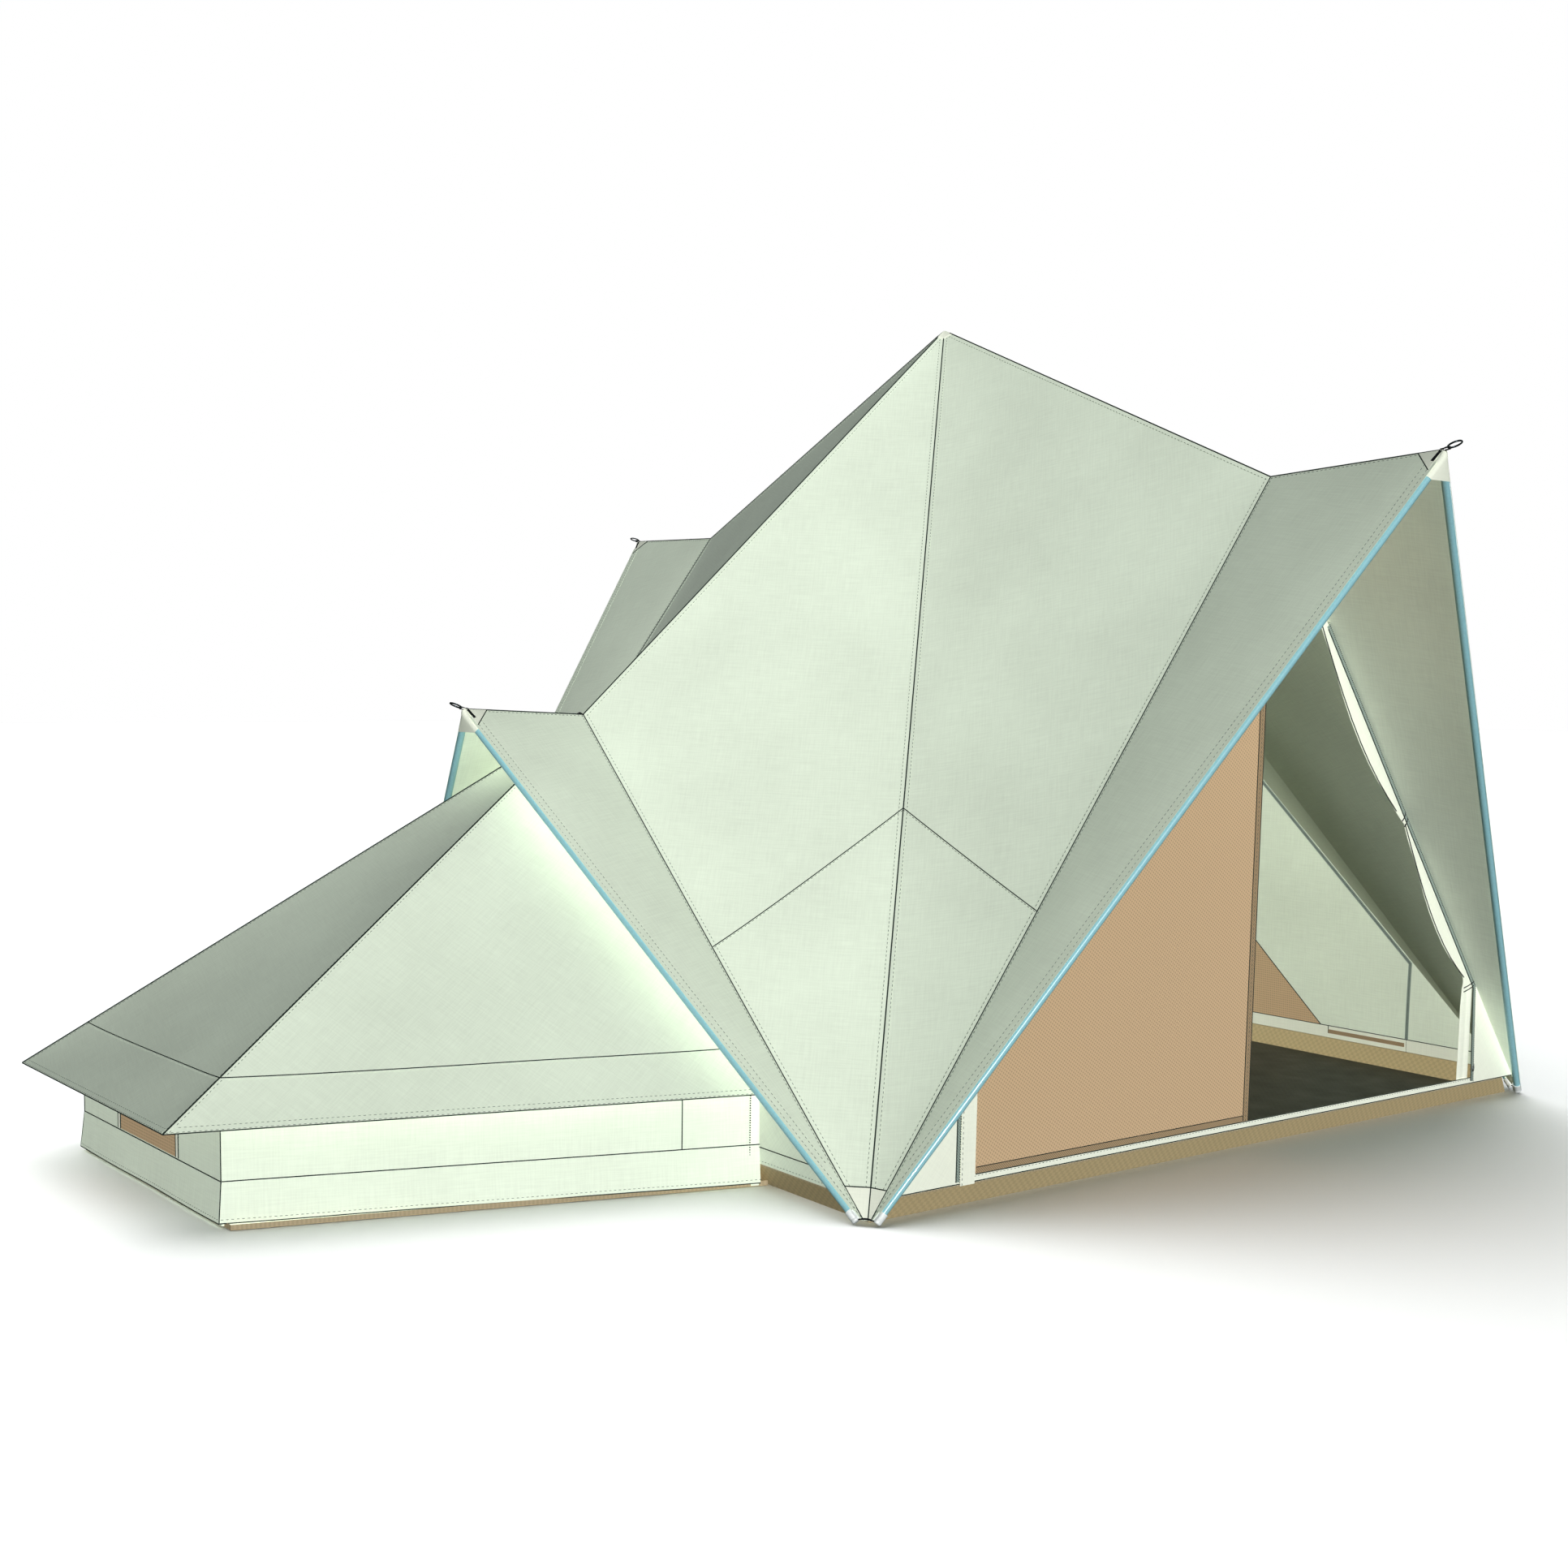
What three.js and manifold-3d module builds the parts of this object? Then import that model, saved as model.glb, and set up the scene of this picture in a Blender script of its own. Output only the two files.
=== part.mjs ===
// A-frame pyramid tent with a low annexe, in millimetres, +Z up.
// The origin lies on the ground under the middle of the groundsheet. The door faces -Y and the annexe -X.
import * as THREE from "three";
import { ConvexGeometry } from "three/addons/geometries/ConvexGeometry.js";
import { mergeVertices } from "three/addons/utils/BufferGeometryUtils.js";
import Module from "manifold-3d";

const wasm = await Module();
wasm.setup();

// Groundsheet: half sizes of its floor, height of its upstand, the sheet, the fold across a corner, and
// how far the upstand stays inside the line of the corners.
const FLOOR_HALF_X = 1500;
const FLOOR_HALF_Y = 1390;
const UPSTAND_HEIGHT = 67;
const SHEET = 3;
const CORNER_FOLD = 110;
const UPSTAND_INSET = 1;

// Canvas: its thickness, the height of the peak, and how far its corners stand outside the floor.
const CANVAS = 2.4;
const PEAK_Z = 2731;
const CORNER_OUT_X = 36;
const CORNER_OUT_Y = 32;
const CORNER_TRIM = 16;
const PEAK_TRIM = 5;

// The knees, where the roof folds into the porch, and the tops of the four A-frames: distance outside
// the line of the corners, and height.
const KNEE = { tall: { out: 14, z: 2073 }, low: { out: 10, z: 1339 } };
const FRAME_TOP = { tall: { out: 575, z: 2095 }, low: { out: 442, z: 1357 } };

// A-frame poles and their fittings.
const LEG_RADIUS = 11;
const LEG_WALL = 1.5;
const LEG_PROUD = 2;
const LEG_TOP_CLEAR = 2.4;
const SPIGOT_LENGTH = 55;
const CAP_WALL = 3;
const CAP_LENGTH = 36;
const CAP_FLOOR = 4;
const CAP_LIFT = 1;
const CORNER_BAND = { width: 16, height: 6 };

// The guy point on each A-frame: a webbing tab and a ring that hinges in it.
const TAB = { thickness: 4, length: 25, rootHalf: 4.33, tip: 11.7, eye: 16, eyeUp: 4.68, eyeRadius: 3.3 };
const RING = { radius: 19, wire: 2.5, tilt: 24 };

// Centre pole: two telescoping tubes, a clamp collar, a rubber foot and a spigot under the peak.
const POLE_LOWER = { radius: 16, wall: 1.8, top: 1500 };
const POLE_UPPER = { radius: 13, wall: 1.5, bottom: 1290 };
const POLE_COLLAR = { radius: 24, height: 46 };
const POLE_FOOT = { radius: 23, height: 40, floor: 8 };
const POLE_SPIGOT = { radius: 5, length: 34 };
const POLE_PLUG = 30;

// Front wall: corner gussets, a sill, a mesh half door and the other half door folded back.
const SILL_TOP = 90;
const GUSSET_EDGE = 1228;
const FLAP_STRIP_EDGE = 1146;
const DOOR_OVERLAP = 24;
const DOOR_HINGE_GAP = 6;
const DOOR_SIDE_GAP = 1.2;
const FLAP = { width: 15, bulge: 42, start: 330, foot: 62, side: 13, footLift: 6 };
const SLIDER = { width: 14, depth: 7, height: 26, lift: 22, aside: 3.5, clear: 0.1 };

// Annexe: distance of its end outside the knee line, half widths at its end and root, and heights.
const ANNEXE_EAVE = { out: 1642, endHalf: 540, rootHalf: 1009, z: 283 };
const ANNEXE_WALL = { out: 1470, endHalf: 490, rootHalf: 950 };
const ANNEXE_FLOOR = { out: 1461, endHalf: 532, rootHalf: 957, inset: 8 };
const ANNEXE_SKEW = 32;
const ANNEXE_SHIFT = -20;
const ANNEXE_DROP = 6;
const ANNEXE_WINDOW = { width: 400, bottom: 128, top: 352 };
const WALL_SPARE = 160;
const ARCH = { inset: 32, drop: 90 };

// Clearances, and how far pieces of one solid run into each other.
const GAP = 0.3;
const SLIVER = 0.02;
const SLIDE_GAP = 0.4;
const WELD = 0.2;

const CORNER_X = FLOOR_HALF_X + CORNER_OUT_X;
const CORNER_Y = FLOOR_HALF_Y + CORNER_OUT_Y;
const SILL_BOTTOM = UPSTAND_HEIGHT + 2 * GAP;

const COLOURS = {
  canvasLight: 0xe3ead2,
  canvasGreen: 0xa9bba9,
  canvasCream: 0xf6f8e6,
  mesh: 0xbca88e,
  groundsheet: 0x8b8069,
  pole: 0xa8d5dc,
  plastic: 0xf4f5f3,
  webbing: 0x3a4345,
  steel: 0xb9bdbf,
  rubber: 0x2a2a2a,
};

const v3 = (x, y, z) => new THREE.Vector3(x, y, z);
const group = new THREE.Group();
const sheets = [];

/** Turn a closed geometry into a solid that can be joined and cut. */
function toSolid(geometry) {
  const bare = geometry.index ? geometry.toNonIndexed() : geometry.clone();
  bare.deleteAttribute("normal");
  bare.deleteAttribute("uv");
  const merged = mergeVertices(bare, 1e-4);
  return new wasm.Manifold(new wasm.Mesh({
    numProp: 3,
    vertProperties: new Float32Array(merged.attributes.position.array),
    triVerts: new Uint32Array(merged.index.array),
  }));
}

/** Turn a solid back into a geometry. */
function toGeometry(solid) {
  const mesh = solid.getMesh();
  const geometry = new THREE.BufferGeometry();
  geometry.setAttribute("position", new THREE.BufferAttribute(new Float32Array(mesh.vertProperties), 3));
  geometry.setIndex(new THREE.BufferAttribute(new Uint32Array(mesh.triVerts), 1));
  geometry.computeVertexNormals();
  return geometry;
}

/** The piece of a cut solid that has the most volume, without the slivers that cutting leaves. */
function largest(solid) {
  const pieces = solid.asOriginal().simplify(SLIVER).decompose();
  return pieces.reduce((best, piece) => (piece.volume() > best.volume() ? piece : best));
}

/** Add one named piece to the tent. */
function add(name, shape, colour, roughness = 0.9, metalness = 0) {
  const geometry = shape.isBufferGeometry ? shape : toGeometry(shape);
  const material = new THREE.MeshStandardMaterial({ color: colour, roughness, metalness });
  const mesh = new THREE.Mesh(geometry, material);
  mesh.name = name;
  group.add(mesh);
}

/** Unit normal of a flat outline, turned to point the same way as a hint. */
function outlineNormal(points, hint) {
  const normal = v3(0, 0, 0);
  points.forEach((point, i) => {
    const next = points[(i + 1) % points.length];
    normal.add(point.clone().cross(next));
  });
  normal.normalize();
  return normal.dot(hint) < 0 ? normal.negate() : normal;
}

/** A flat sheet of cloth under an outline. It fills from `top` down to `top - thickness` along the hint,
 *  and `grow` makes it larger all round, as a cutter that leaves a gap. */
function sheetSolid(points, hint, thickness = CANVAS, top = 0, grow = 0) {
  const normal = outlineNormal(points, hint);
  const along = points[1].clone().sub(points[0]).normalize();
  const across = normal.clone().cross(along);
  const flat = points.map((point) => {
    const step = point.clone().sub(points[0]);
    return new THREE.Vector2(step.dot(along), step.dot(across));
  });
  const outline = THREE.ShapeUtils.area(flat) < 0 ? flat.reverse() : flat;
  const grown = grow ? outline.map((_, i) => offsetCorner(outline, i, grow)) : outline;
  const depth = thickness + 2 * grow;
  const geometry = new THREE.ExtrudeGeometry(new THREE.Shape(grown), { depth, bevelEnabled: false });
  geometry.translate(0, 0, top - thickness - grow);
  const place = new THREE.Matrix4().makeBasis(along, across, normal);
  geometry.applyMatrix4(place.setPosition(points[0]));
  return toSolid(geometry);
}

/** A corner of a counter-clockwise outline, moved out so that both its edges move out by a distance. */
function offsetCorner(outline, i, distance) {
  const count = outline.length;
  const here = outline[i];
  const before = here.clone().sub(outline[(i + count - 1) % count]).normalize();
  const after = outline[(i + 1) % count].clone().sub(here).normalize();
  const outBefore = new THREE.Vector2(before.y, -before.x);
  const outAfter = new THREE.Vector2(after.y, -after.x);
  const middle = outBefore.add(outAfter).normalize();
  return here.clone().addScaledVector(middle, distance / Math.max(middle.dot(outAfter), 0.2));
}

/** Add a sheet of cloth, cut back to leave a gap to every sheet that is already there. */
function addSheet(name, points, hint, colour, options = {}) {
  const { thickness = CANVAS, top = 0 } = options;
  let solid = sheetSolid(points, hint, thickness, top);
  for (const cutter of sheets) {
    solid = solid.subtract(cutter);
  }
  add(name, largest(solid), colour);
  sheets.push(sheetSolid(points, hint, thickness, top, GAP));
}

/** A straight round bar or tube between two points; a tube has an inner radius. */
function bar(from, to, radius, inner = 0, sides = 16) {
  const length = from.distanceTo(to);
  const profile = inner > 0
    ? [[inner, 0], [radius, 0], [radius, length], [inner, length], [inner, 0]]
    : [[0, 0], [radius, 0], [radius, length], [0, length]];
  const geometry = new THREE.LatheGeometry(profile.map(([r, z]) => new THREE.Vector2(r, z)), sides);
  const turn = new THREE.Quaternion().setFromUnitVectors(v3(0, 1, 0), to.clone().sub(from).normalize());
  geometry.applyQuaternion(turn);
  geometry.translate(from.x, from.y, from.z);
  return toSolid(geometry);
}

/** The convex solid around a set of points. */
function hull(points) {
  return toSolid(new ConvexGeometry(points));
}

/** Two points that cut a corner off at a height, one on each edge that leads to the corner. */
function trimmed(corner, first, second, height = CORNER_TRIM) {
  return [first, second].map((end) => corner.clone().lerp(end, (height - corner.z) / (end.z - corner.z)));
}

// The four sides. Each has a knee, an A-frame top and two corners.
const peak = v3(0, 0, PEAK_Z);
const corner = (sx, sy) => v3(sx * CORNER_X, sy * CORNER_Y, 0);
const signName = (sign, low, high) => (sign < 0 ? low : high);

function makeSide(name, axis, sign, kind) {
  const out = axis === "y" ? v3(0, sign, 0) : v3(sign, 0, 0);
  const line = axis === "y" ? CORNER_Y : CORNER_X;
  const knee = out.clone().multiplyScalar(line + KNEE[kind].out).setZ(KNEE[kind].z);
  const top = out.clone().multiplyScalar(line + FRAME_TOP[kind].out).setZ(FRAME_TOP[kind].z);
  const halves = [-1, 1].map((across) => ({
    label: axis === "y" ? signName(across, "left", "right") : signName(across, "front", "back"),
    across: axis === "y" ? v3(across, 0, 0) : v3(0, across, 0),
    corner: axis === "y" ? corner(across, sign) : corner(sign, across),
  }));
  return { name, axis, sign, out, knee, top, halves };
}

const SIDES = [
  makeSide("front", "y", -1, "tall"),
  makeSide("back", "y", 1, "tall"),
  makeSide("left", "x", -1, "low"),
  makeSide("right", "x", 1, "low"),
];

/** A point on a side's wall plane: distance along the wall, and height. */
function onWall(side, along, z) {
  const lean = (side.knee.clone().dot(side.out) - side.halves[0].corner.dot(side.out)) / side.knee.z;
  const reach = side.halves[0].corner.dot(side.out) + lean * z;
  const point = side.out.clone().multiplyScalar(reach).setZ(z);
  return point.add(side.axis === "y" ? v3(along, 0, 0) : v3(0, along, 0));
}

/** Half width of a side's wall triangle at a height, and the height of its slanted edge at a half width. */
const wallHalf = (side) => (side.axis === "y" ? CORNER_X : CORNER_Y);
const hipHalf = (side, z) => wallHalf(side) * (1 - z / side.knee.z);
const hipHeight = (side, along) => side.knee.z * (1 - Math.abs(along) / wallHalf(side));

/** Eight roof panels: each from the peak to a knee and a corner. */
function buildRoof() {
  for (const side of SIDES) {
    for (const half of side.halves) {
      const [atKnee, atPeak] = trimmed(half.corner, side.knee, peak);
      const [ridge, hip] = trimmed(peak, side.knee, half.corner, PEAK_Z - PEAK_TRIM);
      const outline = [ridge, side.knee, atKnee, atPeak, hip];
      addSheet(`roof_${side.name}_${half.label}`, outline, v3(0, 0, 1), COLOURS.canvasLight);
    }
  }
}

/** The groundsheet: a floor with an upstand that leans out to the foot of the walls. */
function buildGroundsheet() {
  const rim = (halfX, halfY, z) => [-1, 1].flatMap((sx) => [-1, 1].flatMap((sy) => [
    v3(sx * (halfX - CORNER_FOLD), sy * halfY, z),
    v3(sx * halfX, sy * (halfY - CORNER_FOLD), z),
  ]));
  const base = (inset, z) => [-1, 1].flatMap((sx) => [-1, 1].map((sy) =>
    v3(sx * (FLOOR_HALF_X - inset), sy * (FLOOR_HALF_Y - inset), z)));
  const rimX = CORNER_X - UPSTAND_INSET;
  const rimY = CORNER_Y - UPSTAND_INSET;
  const outside = hull([...base(0, 0), ...rim(rimX, rimY, UPSTAND_HEIGHT)]);
  const inside = hull([...base(SHEET, SHEET), ...rim(rimX - SHEET, rimY - SHEET, UPSTAND_HEIGHT + 1)]);
  add("groundsheet", outside.subtract(inside), COLOURS.groundsheet, 0.7);
}

/** The front wall's U of canvas, the mesh half door, and the other half door folded back beside its zip. */
function buildFrontWall(side) {
  const at = (along, z) => onWall(side, along, z);
  const foot = hipHalf(side, SILL_BOTTOM);
  const surround = [
    at(-foot, SILL_BOTTOM),
    at(foot, SILL_BOTTOM),
    at(GUSSET_EDGE, hipHeight(side, GUSSET_EDGE)),
    at(GUSSET_EDGE, SILL_TOP),
    at(-FLAP_STRIP_EDGE, SILL_TOP),
    at(-FLAP_STRIP_EDGE, hipHeight(side, FLAP_STRIP_EDGE)),
  ];
  addSheet("front_wall", surround, side.out, COLOURS.canvasCream);

  const slope = Math.hypot(side.knee.z, wallHalf(side)) / wallHalf(side);
  const below = (along, distance) => hipHeight(side, along) - distance * slope;
  const doorSide = -FLAP_STRIP_EDGE + DOOR_SIDE_GAP;
  const doorFoot = SILL_TOP + 2 * GAP;
  const door = [
    at(doorSide, doorFoot),
    at(DOOR_OVERLAP, doorFoot),
    at(DOOR_OVERLAP, below(DOOR_OVERLAP, DOOR_HINGE_GAP)),
    at(0, below(0, DOOR_HINGE_GAP)),
    at(doorSide, below(doorSide, DOOR_HINGE_GAP)),
  ];
  add("door_mesh_panel", sheetSolid(door, side.out), COLOURS.mesh);

  // The folded door hangs from its zip in two swags between toggles, and then straight down.
  const flapEdge = GUSSET_EDGE - FLAP.side;
  const toggle = (FLAP.start + flapEdge) / 2;
  const swag = (from, to) => [0, 1, 2, 3, 4, 5].map((step) => {
    const share = step / 6;
    const sag = FLAP.width + FLAP.bulge * Math.sin(Math.PI * share);
    const along = THREE.MathUtils.lerp(from, to, share);
    return at(along, below(along, sag + GAP));
  });
  const flap = [
    at(flapEdge, SILL_TOP - FLAP.footLift),
    at(flapEdge, below(flapEdge, CANVAS)),
    at(FLAP.start, below(FLAP.start, CANVAS)),
    ...swag(FLAP.start, toggle),
    ...swag(toggle, flapEdge - FLAP.width),
    at(flapEdge - FLAP.foot, below(flapEdge - FLAP.width, FLAP.foot)),
    at(flapEdge - FLAP.foot, SILL_TOP - FLAP.footLift),
  ];
  const inward = -CANVAS - GAP;
  addSheet("door_flap_folded", flap, side.out, COLOURS.canvasCream, { top: inward });

  const sliderBack = at(GUSSET_EDGE, SILL_TOP + SLIDER.lift).dot(side.out) + GAP;
  const slider = new THREE.BoxGeometry(SLIDER.width, SLIDER.depth, SLIDER.height);
  const sliderY = side.sign * (sliderBack + SLIDER.depth / 2 + SLIDER.clear);
  slider.translate(GUSSET_EDGE + SLIDER.aside, sliderY, SILL_TOP + SLIDER.lift + SLIDER.height / 2);
  add("door_zip_slider", slider, COLOURS.steel, 0.4, 0.9);
}

/** A closed wall: one triangle from the groundsheet's upstand to the knee. */
function buildClosedWall(side, colour) {
  const foot = hipHalf(side, SILL_BOTTOM);
  const outline = [onWall(side, -foot, SILL_BOTTOM), onWall(side, foot, SILL_BOTTOM), side.knee];
  addSheet(`${side.name}_wall`, outline, side.out, colour);
}

/** The wall on the annexe's side, with an arch into the annexe. */
function buildArchWall(side) {
  const foot = hipHalf(side, SILL_BOTTOM);
  const inner = ANNEXE_WALL.rootHalf - ARCH.inset;
  const archTop = side.knee.z - ANNEXE_DROP - ARCH.drop;
  const outline = [
    onWall(side, -foot, SILL_BOTTOM),
    onWall(side, -inner, SILL_BOTTOM),
    onWall(side, -inner, ANNEXE_EAVE.z),
    onWall(side, 0, archTop),
    onWall(side, inner, ANNEXE_EAVE.z),
    onWall(side, inner, SILL_BOTTOM),
    onWall(side, foot, SILL_BOTTOM),
    side.knee,
  ];
  addSheet(`${side.name}_wall`, outline, side.out, COLOURS.canvasGreen);
}

/** Eight porch panels: each from a knee to its A-frame's top and a corner. */
function buildPorches() {
  for (const side of SIDES) {
    for (const half of side.halves) {
      const [atKnee, atTop] = trimmed(half.corner, side.knee, side.top);
      const outline = [side.knee, side.top, atTop, atKnee];
      const name = `porch_${side.name}_${half.label}`;
      addSheet(name, outline, half.across, COLOURS.canvasGreen, { top: CANVAS / 2 });
    }
  }
}

/** The straight line that a leg's middle follows, tucked inside its porch panel's outer edge, and how far
 *  short of the knuckle's middle its tube stops so that it clears the other tube. */
function legLine(side, half) {
  const edge = side.top.clone().sub(half.corner).normalize();
  const inward = outlineNormal([side.knee, side.top, half.corner], half.across).negate();
  const proud = side.out.clone().addScaledVector(edge, -side.out.dot(edge)).normalize();
  const base = half.corner.clone();
  base.addScaledVector(inward, LEG_RADIUS + CANVAS / 2 + GAP);
  base.addScaledVector(proud, LEG_PROUD);
  const acrossBase = base.dot(half.across);
  const knuckle = base.clone().addScaledVector(edge, -acrossBase / edge.dot(half.across));
  const sine = Math.abs(edge.dot(half.across));
  const topGap = LEG_RADIUS * Math.sqrt(1 - sine ** 2) / sine + LEG_TOP_CLEAR;
  return { base, edge, knuckle, topGap };
}

/** Where a leg's line passes a height. */
function legAt(line, z) {
  return line.base.clone().addScaledVector(line.edge, (z - line.base.z) / line.edge.z);
}

/** Each A-frame: two tubes, a moulded knuckle plugged into both, and the guy point on its top. */
function buildFrames() {
  const bore = LEG_RADIUS - LEG_WALL;
  const footLines = new Map();
  for (const side of SIDES) {
    const spigots = [];
    for (const half of side.halves) {
      const line = legLine(side, half);
      const lean = Math.sqrt(1 - line.edge.z ** 2);
      const capRadius = LEG_RADIUS + CAP_WALL;
      const capFoot = legAt(line, capRadius * lean + CAP_LIFT);
      const legFoot = capFoot.clone().addScaledVector(line.edge, CAP_FLOOR);
      const legTop = line.knuckle.clone().addScaledVector(line.edge, -line.topGap);
      add(`leg_${side.name}_${half.label}`, bar(legFoot, legTop, LEG_RADIUS, bore), COLOURS.pole, 0.35, 0.5);
      const plug = legTop.clone().addScaledVector(line.edge, -SPIGOT_LENGTH);
      spigots.push(bar(plug, line.knuckle, bore - SLIDE_GAP));
      const key = `${signName(half.corner.y, "front", "back")}_${signName(half.corner.x, "left", "right")}`;
      const capTop = capFoot.clone().addScaledVector(line.edge, CAP_LENGTH);
      const entry = {
        cap: bar(capFoot, capTop, capRadius),
        leg: bar(legFoot.clone().addScaledVector(line.edge, -GAP), legTop, LEG_RADIUS + GAP),
        foot: capFoot,
      };
      footLines.set(key, [...(footLines.get(key) ?? []), entry]);
    }
    const knuckle = legLine(side, side.halves[0]).knuckle;
    const ball = new THREE.SphereGeometry(LEG_RADIUS, 16, 10);
    ball.translate(knuckle.x, knuckle.y, knuckle.z);
    const joint = spigots[0].add(spigots[1]).add(toSolid(ball));
    add(`knuckle_${side.name}`, joint, COLOURS.plastic, 0.5);
    buildGuyPoint(side);
  }
  for (const [key, entries] of footLines) {
    buildCornerFoot(key, entries);
  }
}

/** The two end caps at a corner and the webbing band that ties them under the canvas. */
function buildCornerFoot(key, entries) {
  const [first, second] = entries;
  const reach = second.foot.clone().sub(first.foot).setZ(0);
  const band = new THREE.BoxGeometry(reach.length(), CORNER_BAND.width, CORNER_BAND.height);
  band.rotateZ(Math.atan2(reach.y, reach.x));
  const middle = first.foot.clone().add(second.foot).multiplyScalar(0.5);
  band.translate(middle.x, middle.y, CORNER_BAND.height / 2);
  let solid = toSolid(band).add(first.cap).add(second.cap);
  for (const entry of entries) {
    solid = solid.subtract(entry.leg);
  }
  for (const cutter of sheets) {
    solid = solid.subtract(cutter);
  }
  add(`foot_${key}`, largest(solid), COLOURS.plastic, 0.5);
}

/** The webbing tab on an A-frame's top and the ring that swings in its eye. */
function buildGuyPoint(side) {
  const shape = new THREE.Shape([
    new THREE.Vector2(0, -TAB.rootHalf),
    new THREE.Vector2(TAB.length, 0),
    new THREE.Vector2(TAB.length, TAB.tip),
    new THREE.Vector2(0, TAB.rootHalf),
  ]);
  const eye = new THREE.Path();
  eye.absarc(TAB.eye, TAB.eyeUp, TAB.eyeRadius, 0, 2 * Math.PI, true);
  shape.holes.push(eye);
  const options = { depth: TAB.thickness, bevelEnabled: false, curveSegments: 10 };
  const tab = new THREE.ExtrudeGeometry(shape, options);
  tab.translate(0, 0, -TAB.thickness / 2);
  const up = v3(0, 0, 1);
  const place = new THREE.Matrix4().makeBasis(side.out, up, side.out.clone().cross(up));
  place.setPosition(side.top.clone().addScaledVector(side.out, GAP));
  tab.applyMatrix4(place);
  add(`guy_tab_${side.name}`, toSolid(tab), COLOURS.webbing);

  const profile = Array.from({ length: 9 }, (_, i) => {
    const angle = (i % 8) * Math.PI / 4;
    return new THREE.Vector2(RING.radius + RING.wire * Math.cos(angle), RING.wire * Math.sin(angle));
  });
  const ring = new THREE.LatheGeometry(profile, 20);
  const tilt = THREE.MathUtils.degToRad(RING.tilt);
  const reach = v3(Math.cos(tilt), Math.sin(tilt), 0);
  ring.rotateZ(tilt);
  ring.translate(TAB.eye + RING.radius * reach.x, TAB.eyeUp + RING.radius * reach.y, 0);
  ring.applyMatrix4(place);
  add(`guy_ring_${side.name}`, toSolid(ring), COLOURS.steel, 0.4, 0.8);
}

/** The highest that an upright bar of a radius reaches under the roof's inner faces at the peak. */
function undersideAtPeak(radius) {
  const heights = SIDES.flatMap((side) => side.halves.map((half) => {
    const normal = outlineNormal([peak, side.knee, half.corner], v3(0, 0, 1));
    const slope = Math.hypot(normal.x, normal.y) / normal.z;
    return PEAK_Z - radius * slope - (CANVAS + GAP) / normal.z;
  }));
  return Math.min(...heights);
}

/** The telescoping pole under the peak. */
function buildCentrePole() {
  const axis = (z) => v3(0, 0, z);
  const base = SHEET + GAP;
  const seat = base + POLE_FOOT.floor;
  const footOutside = bar(axis(base), axis(base + POLE_FOOT.height), POLE_FOOT.radius, 0, 20);
  const footBore = bar(axis(seat), axis(base + POLE_FOOT.height + 1), POLE_LOWER.radius + GAP, 0, 20);
  add("pole_foot", footOutside.subtract(footBore), COLOURS.rubber);

  const lowerBore = POLE_LOWER.radius - POLE_LOWER.wall;
  const lowerFrom = axis(seat + GAP);
  const lower = bar(lowerFrom, axis(POLE_LOWER.top), POLE_LOWER.radius, lowerBore, 20);
  add("pole_lower_tube", lower, COLOURS.pole, 0.35, 0.5);

  const collarFrom = POLE_LOWER.top - POLE_COLLAR.height / 2;
  const collarTo = POLE_LOWER.top + POLE_COLLAR.height / 2;
  const collar = bar(axis(collarFrom), axis(collarTo), POLE_COLLAR.radius, 0, 20)
    .subtract(bar(axis(collarFrom - 1), axis(POLE_LOWER.top + GAP), POLE_LOWER.radius + GAP, 0, 20))
    .subtract(bar(axis(collarFrom - 1), axis(collarTo + 1), POLE_UPPER.radius + SLIDE_GAP, 0, 20));
  add("pole_clamp_collar", collar, COLOURS.rubber, 0.6);

  const spigotTop = undersideAtPeak(POLE_SPIGOT.radius);
  const tubeTop = spigotTop - POLE_SPIGOT.length;
  const upperBore = POLE_UPPER.radius - POLE_UPPER.wall;
  const tube = bar(axis(POLE_UPPER.bottom), axis(tubeTop), POLE_UPPER.radius, upperBore, 20);
  const plug = bar(axis(tubeTop - POLE_PLUG), axis(tubeTop), upperBore + WELD, 0, 20);
  const spigot = bar(axis(tubeTop - WELD), axis(spigotTop), POLE_SPIGOT.radius, 0, 20);
  add("pole_upper_tube", tube.add(plug).add(spigot), COLOURS.pole, 0.35, 0.5);
}

/** A plan corner at the annexe's far end: the end is pitched a little askew. */
function annexeEnd(side, size, across, z) {
  const line = side.knee.dot(side.out);
  return v3(-(line + size.out) - across * ANNEXE_SKEW, across * size.endHalf + ANNEXE_SHIFT, z);
}

/** A plan corner where the annexe meets the tent's wall. */
function annexeRoot(side, size, across, z, gap = GAP) {
  return onWall(side, across * size.rootHalf, z).addScaledVector(side.out, gap);
}

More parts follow.
